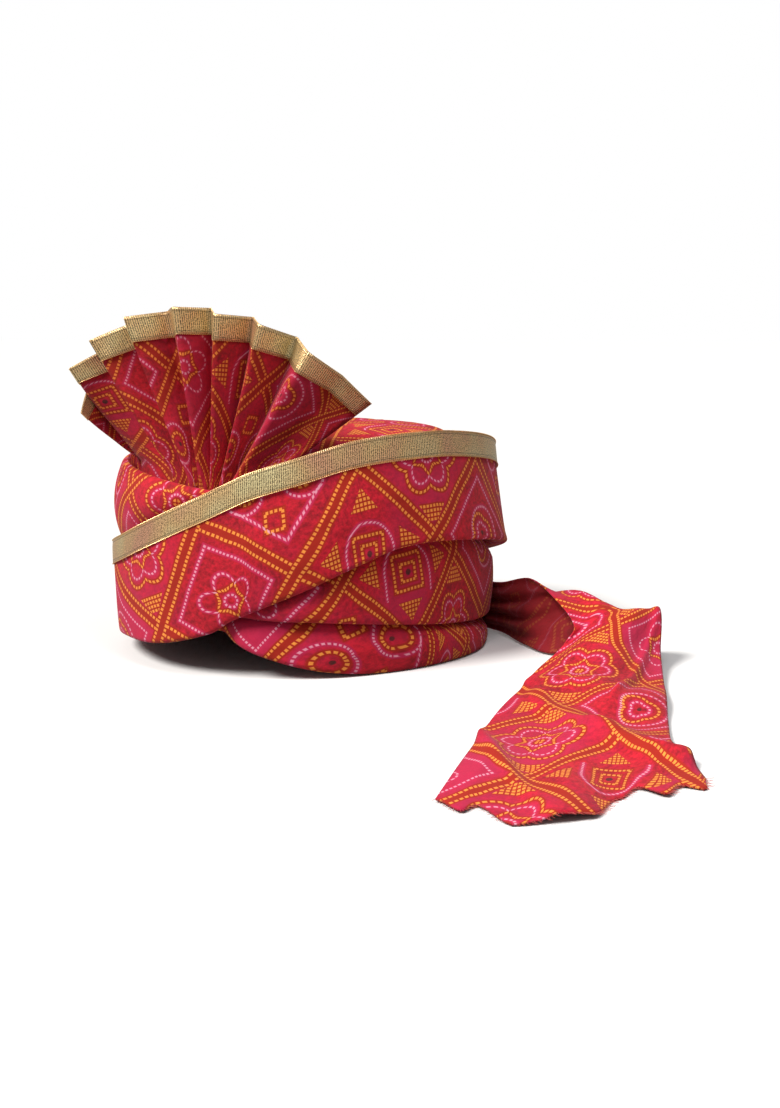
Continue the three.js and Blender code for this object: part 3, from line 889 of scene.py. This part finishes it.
def make_wrap(name, number, section, material, seed):
    """One wrap: its outer face, rolled edges and hems, as one sheet round the head"""
    body = bpy.context.scene.pagri_body
    angles = ring_angles()
    start = layer_start(number)
    heights, outward = section(angles, start)
    fade = np.clip(np.minimum(heights - heights[:, :1], heights[:, -1:] - heights) / (6 * MM), 0, 1)
    outward = outward + fade * (rumples(angles[:, None], heights, seed) - 0.3 * body.rumple)
    cloth = wrap_cloth(angles, heights, f"{name}_top")
    heights, outward = with_hems(heights, outward, start)
    hem = np.array([body.hem, 0.75 * body.hem, 0.25 * body.hem])[None, :, None] * np.array([0, 1])
    cloth = np.concatenate([cloth[:, :1] + hem, cloth, cloth[:, -1:] - hem[:, ::-1]], axis=1)
    points = around_head(angles[:, None], outward, np.maximum(heights, 0.3 * MM))
    piece = grid_piece(f"{name}_cloth", points, cloth, closed=True, materials=[material])
    thicken(piece, body.cloth)
    finish_sheet(piece, f"{name}_wrap")


def fuller(angles, most, middle, spread):
    """How much fuller a wrap is round an angle"""
    return most * np.exp(-(((angles - middle) / spread) ** 2))[:, None]


def upper_section(angles, start):
    """Outer face of the upper wrap, which flares towards its lower edge and puffs out in front"""
    body = bpy.context.scene.pagri_body
    bottom, top = edge_height("upper_bottom", angles), edge_height("upper_top", angles)
    heights, outward = wrap_section(bottom, top, start)
    share = (heights - bottom[:, None]) / (top - bottom)[:, None]
    flare = body.flare * read_edge("flare", angles)[:, None] * (1 - share) ** 2
    puff = fuller(angles, body.puff, LEFT_BROW, 24) * swell((share + 0.05) / 0.75)
    bow = body.bow * swell(0.3 + 0.5 * share)
    return heights, outward + flare + puff + fuller(angles, body.fullness, LEFT_EAR, 40) + bow


def covered_section(name, angles, start, covers, bulges, full, extra=0.0):
    """Outer face of a wrap that swells where the next wrap leaves it bare, most by the left temple"""
    bottom, top = edge_height(f"{name}_bottom", angles), edge_height(f"{name}_top", angles)
    heights, outward = wrap_section(bottom, top, start, samples=44)
    cover_bottom = np.minimum.reduce([edge_height(column, angles) for column in covers[0]])
    low_room = cover_bottom - bottom - 3 * MM
    low_show = np.clip(low_room / (2 * bulges[0]), 0, 1)[:, None]
    low_share = (heights - bottom[:, None]) / np.maximum(cover_bottom - bottom, 1 * MM)[:, None]
    bulge = bulges[0] + fuller(angles, extra, LEFT_TEMPLE, 30)
    outward = outward + bulge * low_show * swell(0.3 + 0.7 * low_share) ** 0.4 * (low_share < 1)
    if covers[1]:
        cover_top = edge_height(covers[1], angles)
        high_show = np.clip((top - cover_top - 3 * MM) / (4 * bulges[1]), 0, 1)[:, None]
        high_share = (heights - cover_top[:, None]) / np.maximum(top - cover_top, 1 * MM)[:, None]
        outward = outward + bulges[1] * high_show * swell(high_share) * (high_share > 0)
    uncovered = np.clip((cover_bottom[:, None] - heights) / (8 * MM), 0, 1)
    return heights, outward + fuller(angles, full, LEFT_EAR, 40) * uncovered


def middle_section(angles, start):
    """Outer face of the middle wrap, bare under the upper wrap and above it"""
    covers = (("upper_bottom",), "upper_top")
    return covered_section("middle", angles, start, covers, bulges=(4.5 * MM, 5 * MM), full=3.0 * MM)


def lower_section(angles, start):
    """Outer face of the lower wrap, bare at its foot alone"""
    covers, bulges = (("middle_bottom", "upper_bottom"), None), (7 * MM, 0.0)
    return covered_section("lower", angles, start, covers, bulges, full=3.5 * MM, extra=6.0 * MM)


def make_crown(material, lining):
    """The crown's cloth over the cap, drawn into slanting pleats, and the cap's inner face"""
    angles = ring_angles()
    frontness = np.maximum(0, np.cos(np.radians(angles))) ** 1.5
    profile = {column: read_table(CROWN_COLUMNS, CROWN_ROWS, column) for column in CROWN_COLUMNS}
    share = np.linspace(0, len(CROWN_ROWS) - 1, 72)
    low = np.clip(share.astype(int), 0, len(CROWN_ROWS) - 2)
    places = np.arange(-1, len(CROWN_ROWS) + 1, dtype=float)

    def smooth(values):
        padded = np.concatenate([[2 * values[0] - values[1]], values, [2 * values[-1] - values[-2]]])
        return hermite(places, padded, low + 1, share)

    height = np.minimum(smooth(profile["height"]), 1.0) * CROWN_HEIGHT
    side, front = smooth(profile["side"]), smooth(profile["front"])
    reach = side[None, :] + (front - side)[None, :] * frontness[:, None]
    rim = edge_height("lower_bottom", angles)[:, None] + CAP_WALL
    heights = np.maximum(height[None, :], rim + (height[None, :] - height[0]) * 0.3)
    points = around_head(angles[:, None], CAP_WALL, heights, reach)

    def slanted(points):
        """Places of points along and across the pleats"""
        x, y = points[..., 0] - AXIS[0], points[..., 1] - AXIS[1]
        sine, cosine = math.sin(CROWN_SLANT), math.cos(CROWN_SLANT)
        return np.stack([x * cosine - y * sine, x * sine + y * cosine], axis=2)

    pleat = (slanted(points)[..., 1] / CROWN_PLEAT) % 1.0
    ridge = np.where(pleat < 0.86, pleat / 0.86, (1 - pleat) / 0.14)
    top = np.clip((heights - 0.86 * CROWN_HEIGHT) / (0.1 * CROWN_HEIGHT), 0, 1)
    points[..., 2] += top * CROWN_PLEAT_HEIGHT * (ridge - 0.6)
    pole = np.repeat(points[:, -1:].mean(axis=0, keepdims=True), len(angles), axis=0)
    points = np.concatenate([points, pole], axis=1)
    unroll = 1 + np.maximum(0, CROWN_HEIGHT - points[..., 2]) / CROWN_UNROLL
    cloth = slanted(points) * unroll[..., None]
    piece = grid_piece("crown_cloth", points, cloth, closed=True, materials=[material, lining])
    merge = piece.modifiers.new("Pole", "WELD")
    merge.merge_threshold = 0.01 * MM
    thicken(piece, CROWN_CLOTH, inner_slot=1)
    finish_sheet(piece, "crown_cap")


def fan_points(shares, lift=0.0):
    """Points of the fan's pleats, at shares of its length from the rim of the wraps, or of its stem"""
    sizes = bpy.context.scene.pagri_fan
    body = bpy.context.scene.pagri_body
    folds = len(FOLD_ROWS)
    at = np.linspace(0, folds - 1, (folds - 1) * sizes.columns + 1)
    base, across, height, depth, pit = (
        np.interp(at, np.arange(folds), read_table(FOLD_COLUMNS, FOLD_ROWS, column))
        for column in FOLD_COLUMNS
    )
    bow = swell(at % 1.0) * 0.10
    facing = np.array([math.cos(sizes.facing), math.sin(sizes.facing), 0.0])
    outward = np.array([math.sin(sizes.facing), -math.cos(sizes.facing), 0.0])
    bend = across * sizes.reach / sizes.bend
    foot = AXIS + np.array([sizes.sideways, -HEAD_HALF_LENGTH - sizes.setback, 0.0])
    edge = (
        foot
        + sizes.bend * np.sin(bend)[:, None] * facing
        - sizes.bend * (1 - np.cos(bend))[:, None] * outward
    )
    edge[:, 2] = height * FAN_TOP
    rim = edge_height("middle_top", base) + sizes.rim
    inside = layer_start(1) - 1 * MM - (sizes.stem_pleat + 3 * MM) / 2
    root = around_head(base, inside, rim)
    rows = []
    for share in shares:
        up = max(0.0, share)
        point = root * (1 - up) + edge * up
        if share < 0:
            point = around_head(base, inside, rim + share * sizes.stem)
        turn = np.radians(base * (1 - up) + math.degrees(sizes.facing) * up)
        normal = np.stack([np.sin(turn), -np.cos(turn), 0 * turn], axis=1)
        half = (sizes.stem_pleat * (1 - up) + sizes.pleat * up) / 2
        sink = sizes.deeper * pit * swell(up) ** 0.8
        waver = 0.5 * MM * up * np.sin(1.7 * at + 5 * up) + body.rumple * 0.3 * np.sin(9 * up + at)
        rows.append(point + normal * ((depth + bow) * half - sink + lift + waver)[:, None])
    return np.stack(rows, axis=1)


def fan_cloth(points, hidden=0.0):
    """Place on the cloth of the fan's points: its full width at the outer edge, and its length.
    Each fold back hides some more cloth than it shows."""
    width = np.linalg.norm(np.diff(points[:, -1], axis=0), axis=1)
    columns = bpy.context.scene.pagri_fan.columns
    back = (np.arange(len(width)) // columns) % 2
    along = np.concatenate([[0], np.cumsum(width + back * hidden / columns)])
    down = cloth_length(points[:, ::-1], 1)[:, ::-1].mean(axis=0)
    return np.stack(np.broadcast_arrays(along[:, None], down[None, :]), axis=2)


def make_fan(material, wrong_side):
    """The fan's pleats, from the stem to the outer edge"""
    sizes = bpy.context.scene.pagri_fan
    body = bpy.context.scene.pagri_body
    shares = np.concatenate([np.linspace(-1, 0, 8)[:-1], np.linspace(0, 1, sizes.rows)])
    points = fan_points(shares)
    cloth = fan_cloth(points, hidden=sizes.hidden)
    piece = grid_piece("fan_cloth", points, cloth, materials=[material, wrong_side])
    thicken(piece, body.cloth, offset=0.0, inner_slot=1)
    finish_sheet(piece, "fan")


def make_fan_lace(material):
    """The ribbon along the fan's outer edge, and its two edges as lines"""
    ribbon = bpy.context.scene.pagri_ribbon
    length = FAN_TOP - float(edge_height("middle_top", 0.0))
    points = fan_points(np.linspace(1 - ribbon.width / length, 1.004, 10), ribbon.fan_lift)
    cloth = fan_cloth(points)
    cloth[..., 1] *= ribbon.width / cloth[0, 0, 1]
    piece = grid_piece("fan_ribbon", points, cloth, materials=[material])
    thicken(piece, ribbon.thickness, offset=0.0)
    length = round(float(cloth[-1, 0, 0]), 3)
    finish_sheet(piece, "fan_lace")
    return points[:, [0, -1]]


def make_upper_lace(material):
    """The ribbon along the upper wrap's top edge, and its two edges as lines"""
    ribbon = bpy.context.scene.pagri_ribbon
    angles = ring_angles()
    start = layer_start(2)
    heights, outward = upper_section(angles, start)
    top = edge_height("upper_top", angles)
    down = np.linspace(1, 0, 12)[None, :]
    lace_heights = top[:, None] - ribbon.width * down + ribbon.overhang
    on_wrap = np.array([np.interp(*row) for row in zip(lace_heights, heights, outward)])
    lace_outward = np.maximum(on_wrap, on_wrap[:, 4:5] - 0.4 * MM) + ribbon.wrap_lift
    points = around_head(angles[:, None], lace_outward, lace_heights)
    along = cloth_length(points, 0).mean(axis=1)
    cloth = np.stack(np.broadcast_arrays(along[:, None], ribbon.width * down), axis=2)
    piece = grid_piece("upper_ribbon", points, cloth, closed=True, materials=[material])
    thicken(piece, ribbon.thickness)
    finish_sheet(piece, "upper_lace")
    return points[:, [0, -1]]


def tail_points():
    """Grid of the loose end: rows along it from the root, columns across it from its near edge"""
    sizes = bpy.context.scene.pagri_tail
    body = bpy.context.scene.pagri_body
    seat = layer_start(1) + body.padding + 4.5 * MM + body.layer_gap
    heights = np.array(TAIL_ROOT_HEIGHTS) * sizes.rise
    root = around_head(sizes.root_angle, seat, heights)
    scale = np.array([sizes.span, -sizes.reach, sizes.rise])
    start = np.array([root[0, 0], root[0, 1], 0.0])
    stations = [root] + [start + np.array(row) * scale for row in TAIL_ROWS]
    sections = np.stack([smooth_line(station, sizes.columns + 1) for station in stations])
    columns = [smooth_line(sections[:, column], sizes.rows + 1) for column in range(sizes.columns + 1)]
    return np.stack(columns, axis=1)


def shape_tail(points):
    """Adds the lobes of the raw end, the gathers at the root and the soft lifts on the table"""
    sizes = bpy.context.scene.pagri_tail
    rows, columns = points.shape[:2]
    along = np.linspace(0, 1, rows)[:, None]
    across = np.linspace(0, 1, columns)[None, :]
    line = points[-1, -1] - points[-1, 0]
    line[2] = 0
    line /= np.linalg.norm(line)
    outward = np.array([line[1], -line[0], 0.0])
    reach = eased(across[0], LOBE_SHARES, LOBE_REACH_MM) * MM
    pull = np.clip((along - 0.72) / 0.28, 0, 1) ** 2
    points = points + (pull * reach[None, :])[..., None] * outward
    run = np.gradient(points, axis=0)
    side = np.gradient(points, axis=1)
    normal = np.cross(run, side)
    normal /= np.maximum(np.linalg.norm(normal, axis=2, keepdims=True), 1e-9)
    turns = across * 2 * math.pi
    gather = np.clip(1 - along / 0.42, 0, 1) * np.sin(turns * sizes.gathers + 3 * along)
    ripple = np.clip((along - 0.3) / 0.2, 0, 1) * np.sin(turns * sizes.ripples + 9 * along)
    offset = (sizes.gather * gather + sizes.ripple * ripple) * swell(across) ** 0.5
    points = points + offset[..., None] * normal
    for place, beside, length, width, height in TAIL_LIFTS:
        lift = np.exp(-(((along - place) / length) ** 2) - ((across - beside) / width) ** 2)
        points[..., 2] += height * MM * lift
    for first, near, last, far, low, high, width in TAIL_CREASES:
        share = (across - near) / (far - near)
        height = low + (high - low) * np.clip(share, 0, 1)
        fade = np.clip((share + 0.25) / 0.25, 0, 1) * np.clip((1.25 - share) / 0.25, 0, 1)
        off = (along - first - (last - first) * share) / width
        slope = np.where(off < 0, np.exp(-(off * off) / 2.2), np.exp(-(off * off) * 2.2))
        points[..., 2] += height * MM * fade * slope
    points[..., 2] = np.maximum(points[..., 2], sizes.lowest)
    return points


def cut_area(cloth):
    """Area of a cut of cloth, from the places of its points on the cloth"""
    edge = np.concatenate([cloth[:-1, 0], cloth[-1, :-1], cloth[:0:-1, -1], cloth[0, :0:-1]])
    x, y = edge[:, 0], edge[:, 1]
    return round(abs(float(np.dot(x, np.roll(y, -1)) - np.dot(y, np.roll(x, -1)))) / 2, 4)


def tail_cloth_places(points):
    """Place of each point on the loose end's cloth, along it and across it"""
    run = np.gradient(points, axis=0)
    run /= np.maximum(np.linalg.norm(run, axis=2, keepdims=True), 1e-9)
    step = np.diff(points, axis=1)
    ahead = np.sum(step * run[:, :-1], axis=2)
    beside = np.sqrt(np.maximum(np.sum(step * step, axis=2) - ahead**2, 0))
    first = np.zeros((len(points), 1))
    ahead = np.concatenate([first, np.cumsum(ahead, axis=1)], axis=1)
    beside = np.concatenate([first, np.cumsum(beside, axis=1)], axis=1)
    middle = points.shape[1] // 2
    along = cloth_length(points, 0)[:, middle]
    return np.stack([along[:, None] + ahead - ahead[:, middle:middle + 1], beside], axis=2)


def make_tail(material, wrong_side):
    """The loose end, with its points, which its threads need, and its flat size and area"""
    body = bpy.context.scene.pagri_body
    points = shape_tail(tail_points())
    cloth = tail_cloth_places(points)
    piece = grid_piece("tail_cloth", points, cloth, materials=[material, wrong_side])
    thicken(piece, body.cloth, inner_slot=1)
    for vertex in piece.data.vertices:
        vertex.co.z = max(vertex.co.z, 0.1 * MM)
    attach(piece, "root")
    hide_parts("tail")
    length, width = np.ptp(cloth, axis=(0, 1))
    return piece, points, (round(float(width), 3), round(float(length), 3)), cut_area(cloth)


# Nodes that set a small thing at even steps along a line: name, kind, settings and input values
ALONG_NODES = (
    ("curve", "GeometryNodeMeshToCurve", {}, {}),
    ("resample", "GeometryNodeResampleCurve", {"mode": "LENGTH"}, {}),
    ("tangent", "GeometryNodeInputTangent", {}, {}),
    ("turn", "FunctionNodeRotateRotation", {"rotation_space": "LOCAL"}, {}),
    ("spin", "FunctionNodeAxisAngleToRotation", {}, {}),
    ("instances", "GeometryNodeInstanceOnPoints", {}, {}),
    ("realize", "GeometryNodeRealizeInstances", {}, {}),
    ("finish", "GeometryNodeSetMaterial", {}, {}),
)
ALONG_LINKS = (
    ("in", "Line", "curve", 0),
    ("curve", 0, "resample", "Curve"),
    ("in", "Pitch", "resample", "Length"),
    ("resample", 0, "instances", "Points"),
    ("tangent", 0, "align", "Vector"),
    ("align", 0, "turn", 0),
    ("spin", 0, "turn", 1),
    ("turn", 0, "instances", "Rotation"),
    ("instances", 0, "realize", 0),
    ("in", "Finish", "finish", "Material"),
    ("finish", 0, "out", 0),
)


def along_tree(name, inputs, nodes, links):
    """A Geometry Nodes tree that sets a small thing along a line"""
    tree = bpy.data.node_groups.new(name, "GeometryNodeTree")
    tree.interface.new_socket("Line", in_out="INPUT", socket_type="NodeSocketGeometry")
    for label, value in inputs:
        kind = "NodeSocketInt" if isinstance(value, int) else "NodeSocketFloat"
        tree.interface.new_socket(label, in_out="INPUT", socket_type=kind).default_value = value
    tree.interface.new_socket("Finish", in_out="INPUT", socket_type="NodeSocketMaterial")
    tree.interface.new_socket("Mesh", in_out="OUTPUT", socket_type="NodeSocketGeometry")
    made = {"in": tree.nodes.new("NodeGroupInput"), "out": tree.nodes.new("NodeGroupOutput")}
    for label, kind, settings, values in (*ALONG_NODES, *nodes):
        made[label] = tree.nodes.new(kind)
        for setting, value in settings.items():
            setattr(made[label], setting, value)
        for place, value in values.items():
            made[label].inputs[place].default_value = value
    for source, output, target, place in (*ALONG_LINKS, *links):
        tree.links.new(made[source].outputs[output], made[target].inputs[place])
    return tree


def edging_tree():
    """A twisted edging of small slanted beads along a line"""
    sizes = bpy.context.scene.pagri_ribbon
    inputs = (("Pitch", sizes.bead_pitch), ("Size", sizes.bead_size), ("Slant", 0.6))
    nodes = (
        ("bead", "GeometryNodeMeshUVSphere", {}, {"Segments": 6, "Rings": 4, "Radius": 0.5}),
        ("align", "FunctionNodeAlignRotationToVector", {"axis": "X"}, {}),
        ("stretch", "ShaderNodeCombineXYZ", {}, {}),
        ("longer", "ShaderNodeMath", {"operation": "MULTIPLY"}, {1: 1.35}),
    )
    links = (
        ("bead", 0, "instances", "Instance"),
        ("in", "Slant", "spin", "Angle"),
        ("in", "Pitch", "longer", 0),
        ("longer", 0, "stretch", 0),
        ("in", "Size", "stretch", 1),
        ("in", "Size", "stretch", 2),
        ("stretch", 0, "instances", "Scale"),
        ("realize", 0, "finish", "Geometry"),
    )
    return along_tree("twisted_edging", inputs, nodes, links)


def threads_tree():
    """Frayed threads that stand out of a raw edge"""
    sizes = bpy.context.scene.pagri_tail
    bow = {
        "Resolution": 4,
        "Start": (0, 0, 0),
        "Start Handle": (0.4, 0.05, 0.03),
        "End Handle": (0.7, -0.12, 0.03),
        "End": (1.0, 0.1, 0.0),
    }
    inputs = (
        ("Pitch", sizes.thread_pitch),
        ("Length", sizes.thread),
        ("Radius", sizes.thread_radius),
        ("Seed", sizes.seed),
    )
    nodes = (
        ("thread", "GeometryNodeCurvePrimitiveBezierSegment", {}, bow),
        ("align", "FunctionNodeAlignRotationToVector", {"axis": "Y"}, {}),
        ("spread", "FunctionNodeRandomValue", {"data_type": "FLOAT"}, {2: -0.5, 3: 0.5}),
        ("size", "FunctionNodeRandomValue", {"data_type": "FLOAT"}, {2: 0.35, 3: 1.15}),
        ("scale", "ShaderNodeMath", {"operation": "MULTIPLY"}, {}),
        ("profile", "GeometryNodeCurvePrimitiveCircle", {}, {"Resolution": 3}),
        ("sweep", "GeometryNodeCurveToMesh", {}, {}),
    )
    links = (
        ("thread", 0, "instances", "Instance"),
        ("in", "Seed", "spread", "Seed"),
        ("spread", 1, "spin", "Angle"),
        ("in", "Seed", "size", "Seed"),
        ("size", 1, "scale", 0),
        ("in", "Length", "scale", 1),
        ("scale", 0, "instances", "Scale"),
        ("in", "Radius", "profile", "Radius"),
        ("realize", 0, "sweep", "Curve"),
        ("profile", 0, "sweep", "Profile Curve"),
        ("sweep", 0, "finish", "Geometry"),
    )
    return along_tree("frayed_threads", inputs, nodes, links)


def along_lines(name, lines, tree, material):
    """A piece that a Geometry Nodes tree makes along some lines, as a plain mesh"""
    vertices, edges = [], []
    for line in lines:
        first = len(vertices)
        vertices.extend(line.tolist())
        edges.extend((first + i, first + i + 1) for i in range(len(line) - 1))
    mesh = bpy.data.meshes.new(name)
    mesh.from_pydata(vertices, edges, [])
    piece = add_object(name, mesh)
    modifier = piece.modifiers.new(tree.name, "NODES")
    modifier.node_group = tree
    for item in tree.interface.items_tree:
        if item.item_type == "SOCKET" and item.name == "Finish":
            modifier[item.identifier] = material
    apply_modifiers(piece)
    if not piece.data.polygons:
        raise RuntimeError(f"{name} came out empty")
    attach(piece, "root")
    return piece


class PAGRI_OT_crown(bpy.types.Operator):
    """Builds the crown's cloth and the cap's inner face"""

    bl_idname = "pagri.crown"
    bl_label = "Crown"

    def execute(self, context):
        lining = cotton("cotton_wrong_side", (0.0, 0.0), wrong_side=True)
        make_crown(cotton("cotton_crown", (0.02, 0.03)), lining)
        return {"FINISHED"}


class PAGRI_OT_wraps(bpy.types.Operator):
    """Builds the three wraps round the head"""

    bl_idname = "pagri.wraps"
    bl_label = "Wraps"

    def execute(self, context):
        lower = cotton("cotton_lower", (-0.020, -0.055))
        middle = cotton("cotton_middle", (-0.018, -0.010))
        upper = cotton("cotton_upper", (0.013, -0.011), scale=(0.90, 0.965))
        make_wrap("lower", 0, lower_section, lower, seed=1.3)
        make_wrap("middle", 1, middle_section, middle, seed=2.9)
        make_wrap("upper", 2, upper_section, upper, seed=4.2)
        return {"FINISHED"}


class PAGRI_OT_fan(bpy.types.Operator):
    """Builds the pleated fan"""

    bl_idname = "pagri.fan"
    bl_label = "Fan"

    def execute(self, context):
        lining = bpy.data.materials["cotton_wrong_side"]
        # The fan's cotton gets a painted shade: deeper=0.8 darkens it for the shade in its pleats
        make_fan(cotton("cotton_fan", (0.022, 0.012), scale=(1.12, 1.12), deeper=0.8), lining)
        return {"FINISHED"}


class PAGRI_OT_ribbons(bpy.types.Operator):
    """Builds the gold ribbons and their twisted edging"""

    bl_idname = "pagri.ribbons"
    bl_label = "Gold ribbons"

    def execute(self, context):
        gold = gold_ribbon("gold_ribbon_weave")
        sizes = context.scene.pagri_ribbon
        cord = thread_material("gold_edging", sizes.gold, metallic=0.8, roughness=0.35)
        tree = edging_tree()
        laces = {"upper_edging": make_upper_lace(gold), "fan_edging": make_fan_lace(gold)}
        for name, edges in laces.items():
            along_lines(name, [edges[:, 0], edges[:, 1]], tree, cord)
        return {"FINISHED"}


class PAGRI_OT_tail(bpy.types.Operator):
    """Builds the loose end and the frayed threads of its raw edge"""

    bl_idname = "pagri.tail"
    bl_label = "Loose end"

    def execute(self, context):
        lining = bpy.data.materials["cotton_wrong_side"]
        printed = cotton("cotton_tail", (0.0925, 0.241), -math.pi / 2, (0.85, 1.05))
        tail, points, flat, area = make_tail(printed, lining)
        frayed = thread_material("frayed_cotton", (0.62, 0.10, 0.09), roughness=0.8)
        threads = along_lines("tail_threads", [points[-1]], threads_tree(), frayed)
        return {"FINISHED"}


def photo_place(right, away, up):
    """A point given to the right of, away from and above the body, as the camera sees it"""
    azimuth = bpy.context.scene.pagri_stage.azimuth
    x = right * math.cos(azimuth) - away * math.sin(azimuth)
    y = right * math.sin(azimuth) + away * math.cos(azimuth)
    return Vector((AXIS[0] + x, AXIS[1] + y, up))


def add_camera():
    """The camera, at the photo's angle"""
    sizes = bpy.context.scene.pagri_stage
    place = photo_place(0.0, -sizes.distance, sizes.height)
    ahead = photo_place(
        math.sin(sizes.aside) * math.cos(sizes.down),
        math.cos(sizes.aside) * math.cos(sizes.down) - sizes.distance,
        sizes.height - math.sin(sizes.down),
    )
    camera = bpy.data.cameras.new("camera")
    camera.lens = sizes.lens
    camera.sensor_width = 36.0
    camera.clip_start = 0.01
    bpy.context.scene.camera = add_object("camera", camera, place, ahead - place)


def add_floor():
    """A floor that the camera sees as pale paper, and that sends little light up under the pagri"""
    sizes = bpy.context.scene.pagri_stage
    half, under = sizes.floor, -0.1 * MM
    mesh = bpy.data.meshes.new("floor")
    corners = [(-half, -half, under), (half, -half, under), (half, half, under), (-half, half, under)]
    mesh.from_pydata(corners, [], [(0, 1, 2, 3)])
    paper, tree, shader = new_material("floor")
    path = tree.nodes.new("ShaderNodeLightPath")
    shade = mix_colour(tree, path.outputs["Is Camera Ray"], [sizes.floor_lit] * 3, [sizes.floor_seen] * 3)
    tree.links.new(shade, shader.inputs["Base Color"])
    set_inputs(shader, Roughness=0.9)
    mesh.materials.append(paper)
    add_object("floor", mesh)


def add_lights():
    """A soft key light from the left, and a small light over the loose end"""
    sizes = bpy.context.scene.pagri_stage
    key = bpy.data.lights.new("key", "SUN")
    key.energy = sizes.key
    key.angle = sizes.softness
    key.color = (1.0, 0.97, 0.93)
    add_object("key", key, aim=photo_place(0, 0, 0) - photo_place(-0.85, -0.55, 1.05))
    spot = bpy.data.lights.new("tail_light", "AREA")
    spot.shape = "DISK"
    spot.size = 0.25
    spot.energy = sizes.tail_light
    place = photo_place(0.12, -0.35, 0.55)
    add_object("tail_light", spot, place, photo_place(0.16, -0.22, 0.0) - place)


def add_world():
    """A white world, at full strength to the camera alone"""
    white = (1.0, 1.0, 1.0, 1.0)
    world = bpy.data.worlds.new("studio")
    world.use_nodes = True
    tree = world.node_tree
    ambient = set_inputs(
        tree.nodes["Background"], Color=white, Strength=bpy.context.scene.pagri_stage.ambient
    )
    paper = add_node(tree, "ShaderNodeBackground", Color=white, Strength=1.0)
    path = tree.nodes.new("ShaderNodeLightPath")
    either = tree.nodes.new("ShaderNodeMixShader")
    for place, source in enumerate((path.outputs["Is Camera Ray"], ambient.outputs[0], paper.outputs[0])):
        tree.links.new(source, either.inputs[place])
    tree.links.new(either.outputs[0], tree.nodes["World Output"].inputs[0])
    bpy.context.scene.world = world


class PAGRI_OT_stage(bpy.types.Operator):
    """Builds the floor, the lights and the camera"""

    bl_idname = "pagri.stage"
    bl_label = "Stage"

    def execute(self, context):
        add_camera()
        add_floor()
        add_lights()
        add_world()
        context.scene.view_settings.view_transform = "Standard"
        return {"FINISHED"}


class PAGRI_PT_panel(bpy.types.Panel):
    """Lists the sizes and the pieces"""

    bl_idname = "PAGRI_PT_panel"
    bl_label = "Pagri"
    bl_space_type = "VIEW_3D"
    bl_region_type = "UI"
    bl_category = "Pagri"

    def draw(self, context):
        for operator in OPERATORS:
            self.layout.operator(operator.bl_idname)
        for name in SETTINGS:
            box = self.layout.box()
            group = getattr(context.scene, name)
            for field in group.__annotations__:
                box.prop(group, field, text=field.replace("_", " ").capitalize())


SETTINGS = {
    "pagri_body": BodySizes,
    "pagri_print": PrintColours,
    "pagri_ribbon": RibbonSizes,
    "pagri_fan": FanSizes,
    "pagri_tail": TailSizes,
    "pagri_stage": StageSizes,
}
OPERATORS = (
    PAGRI_OT_crown,
    PAGRI_OT_wraps,
    PAGRI_OT_fan,
    PAGRI_OT_ribbons,
    PAGRI_OT_tail,
    PAGRI_OT_stage,
)


def register():
    for group in (*SETTINGS.values(), *OPERATORS, PAGRI_PT_panel):
        bpy.utils.register_class(group)
    for name, group in SETTINGS.items():
        setattr(bpy.types.Scene, name, PointerProperty(type=group))


def unregister():
    for name in SETTINGS:
        delattr(bpy.types.Scene, name)
    for group in (PAGRI_PT_panel, *reversed(OPERATORS), *reversed(list(SETTINGS.values()))):
        bpy.utils.unregister_class(group)


def main():
    register()
    bpy.ops.pagri.crown()
    bpy.ops.pagri.wraps()
    bpy.ops.pagri.fan()
    bpy.ops.pagri.ribbons()
    bpy.ops.pagri.tail()
    bpy.ops.pagri.stage()


if __name__ == "__main__":
    main()
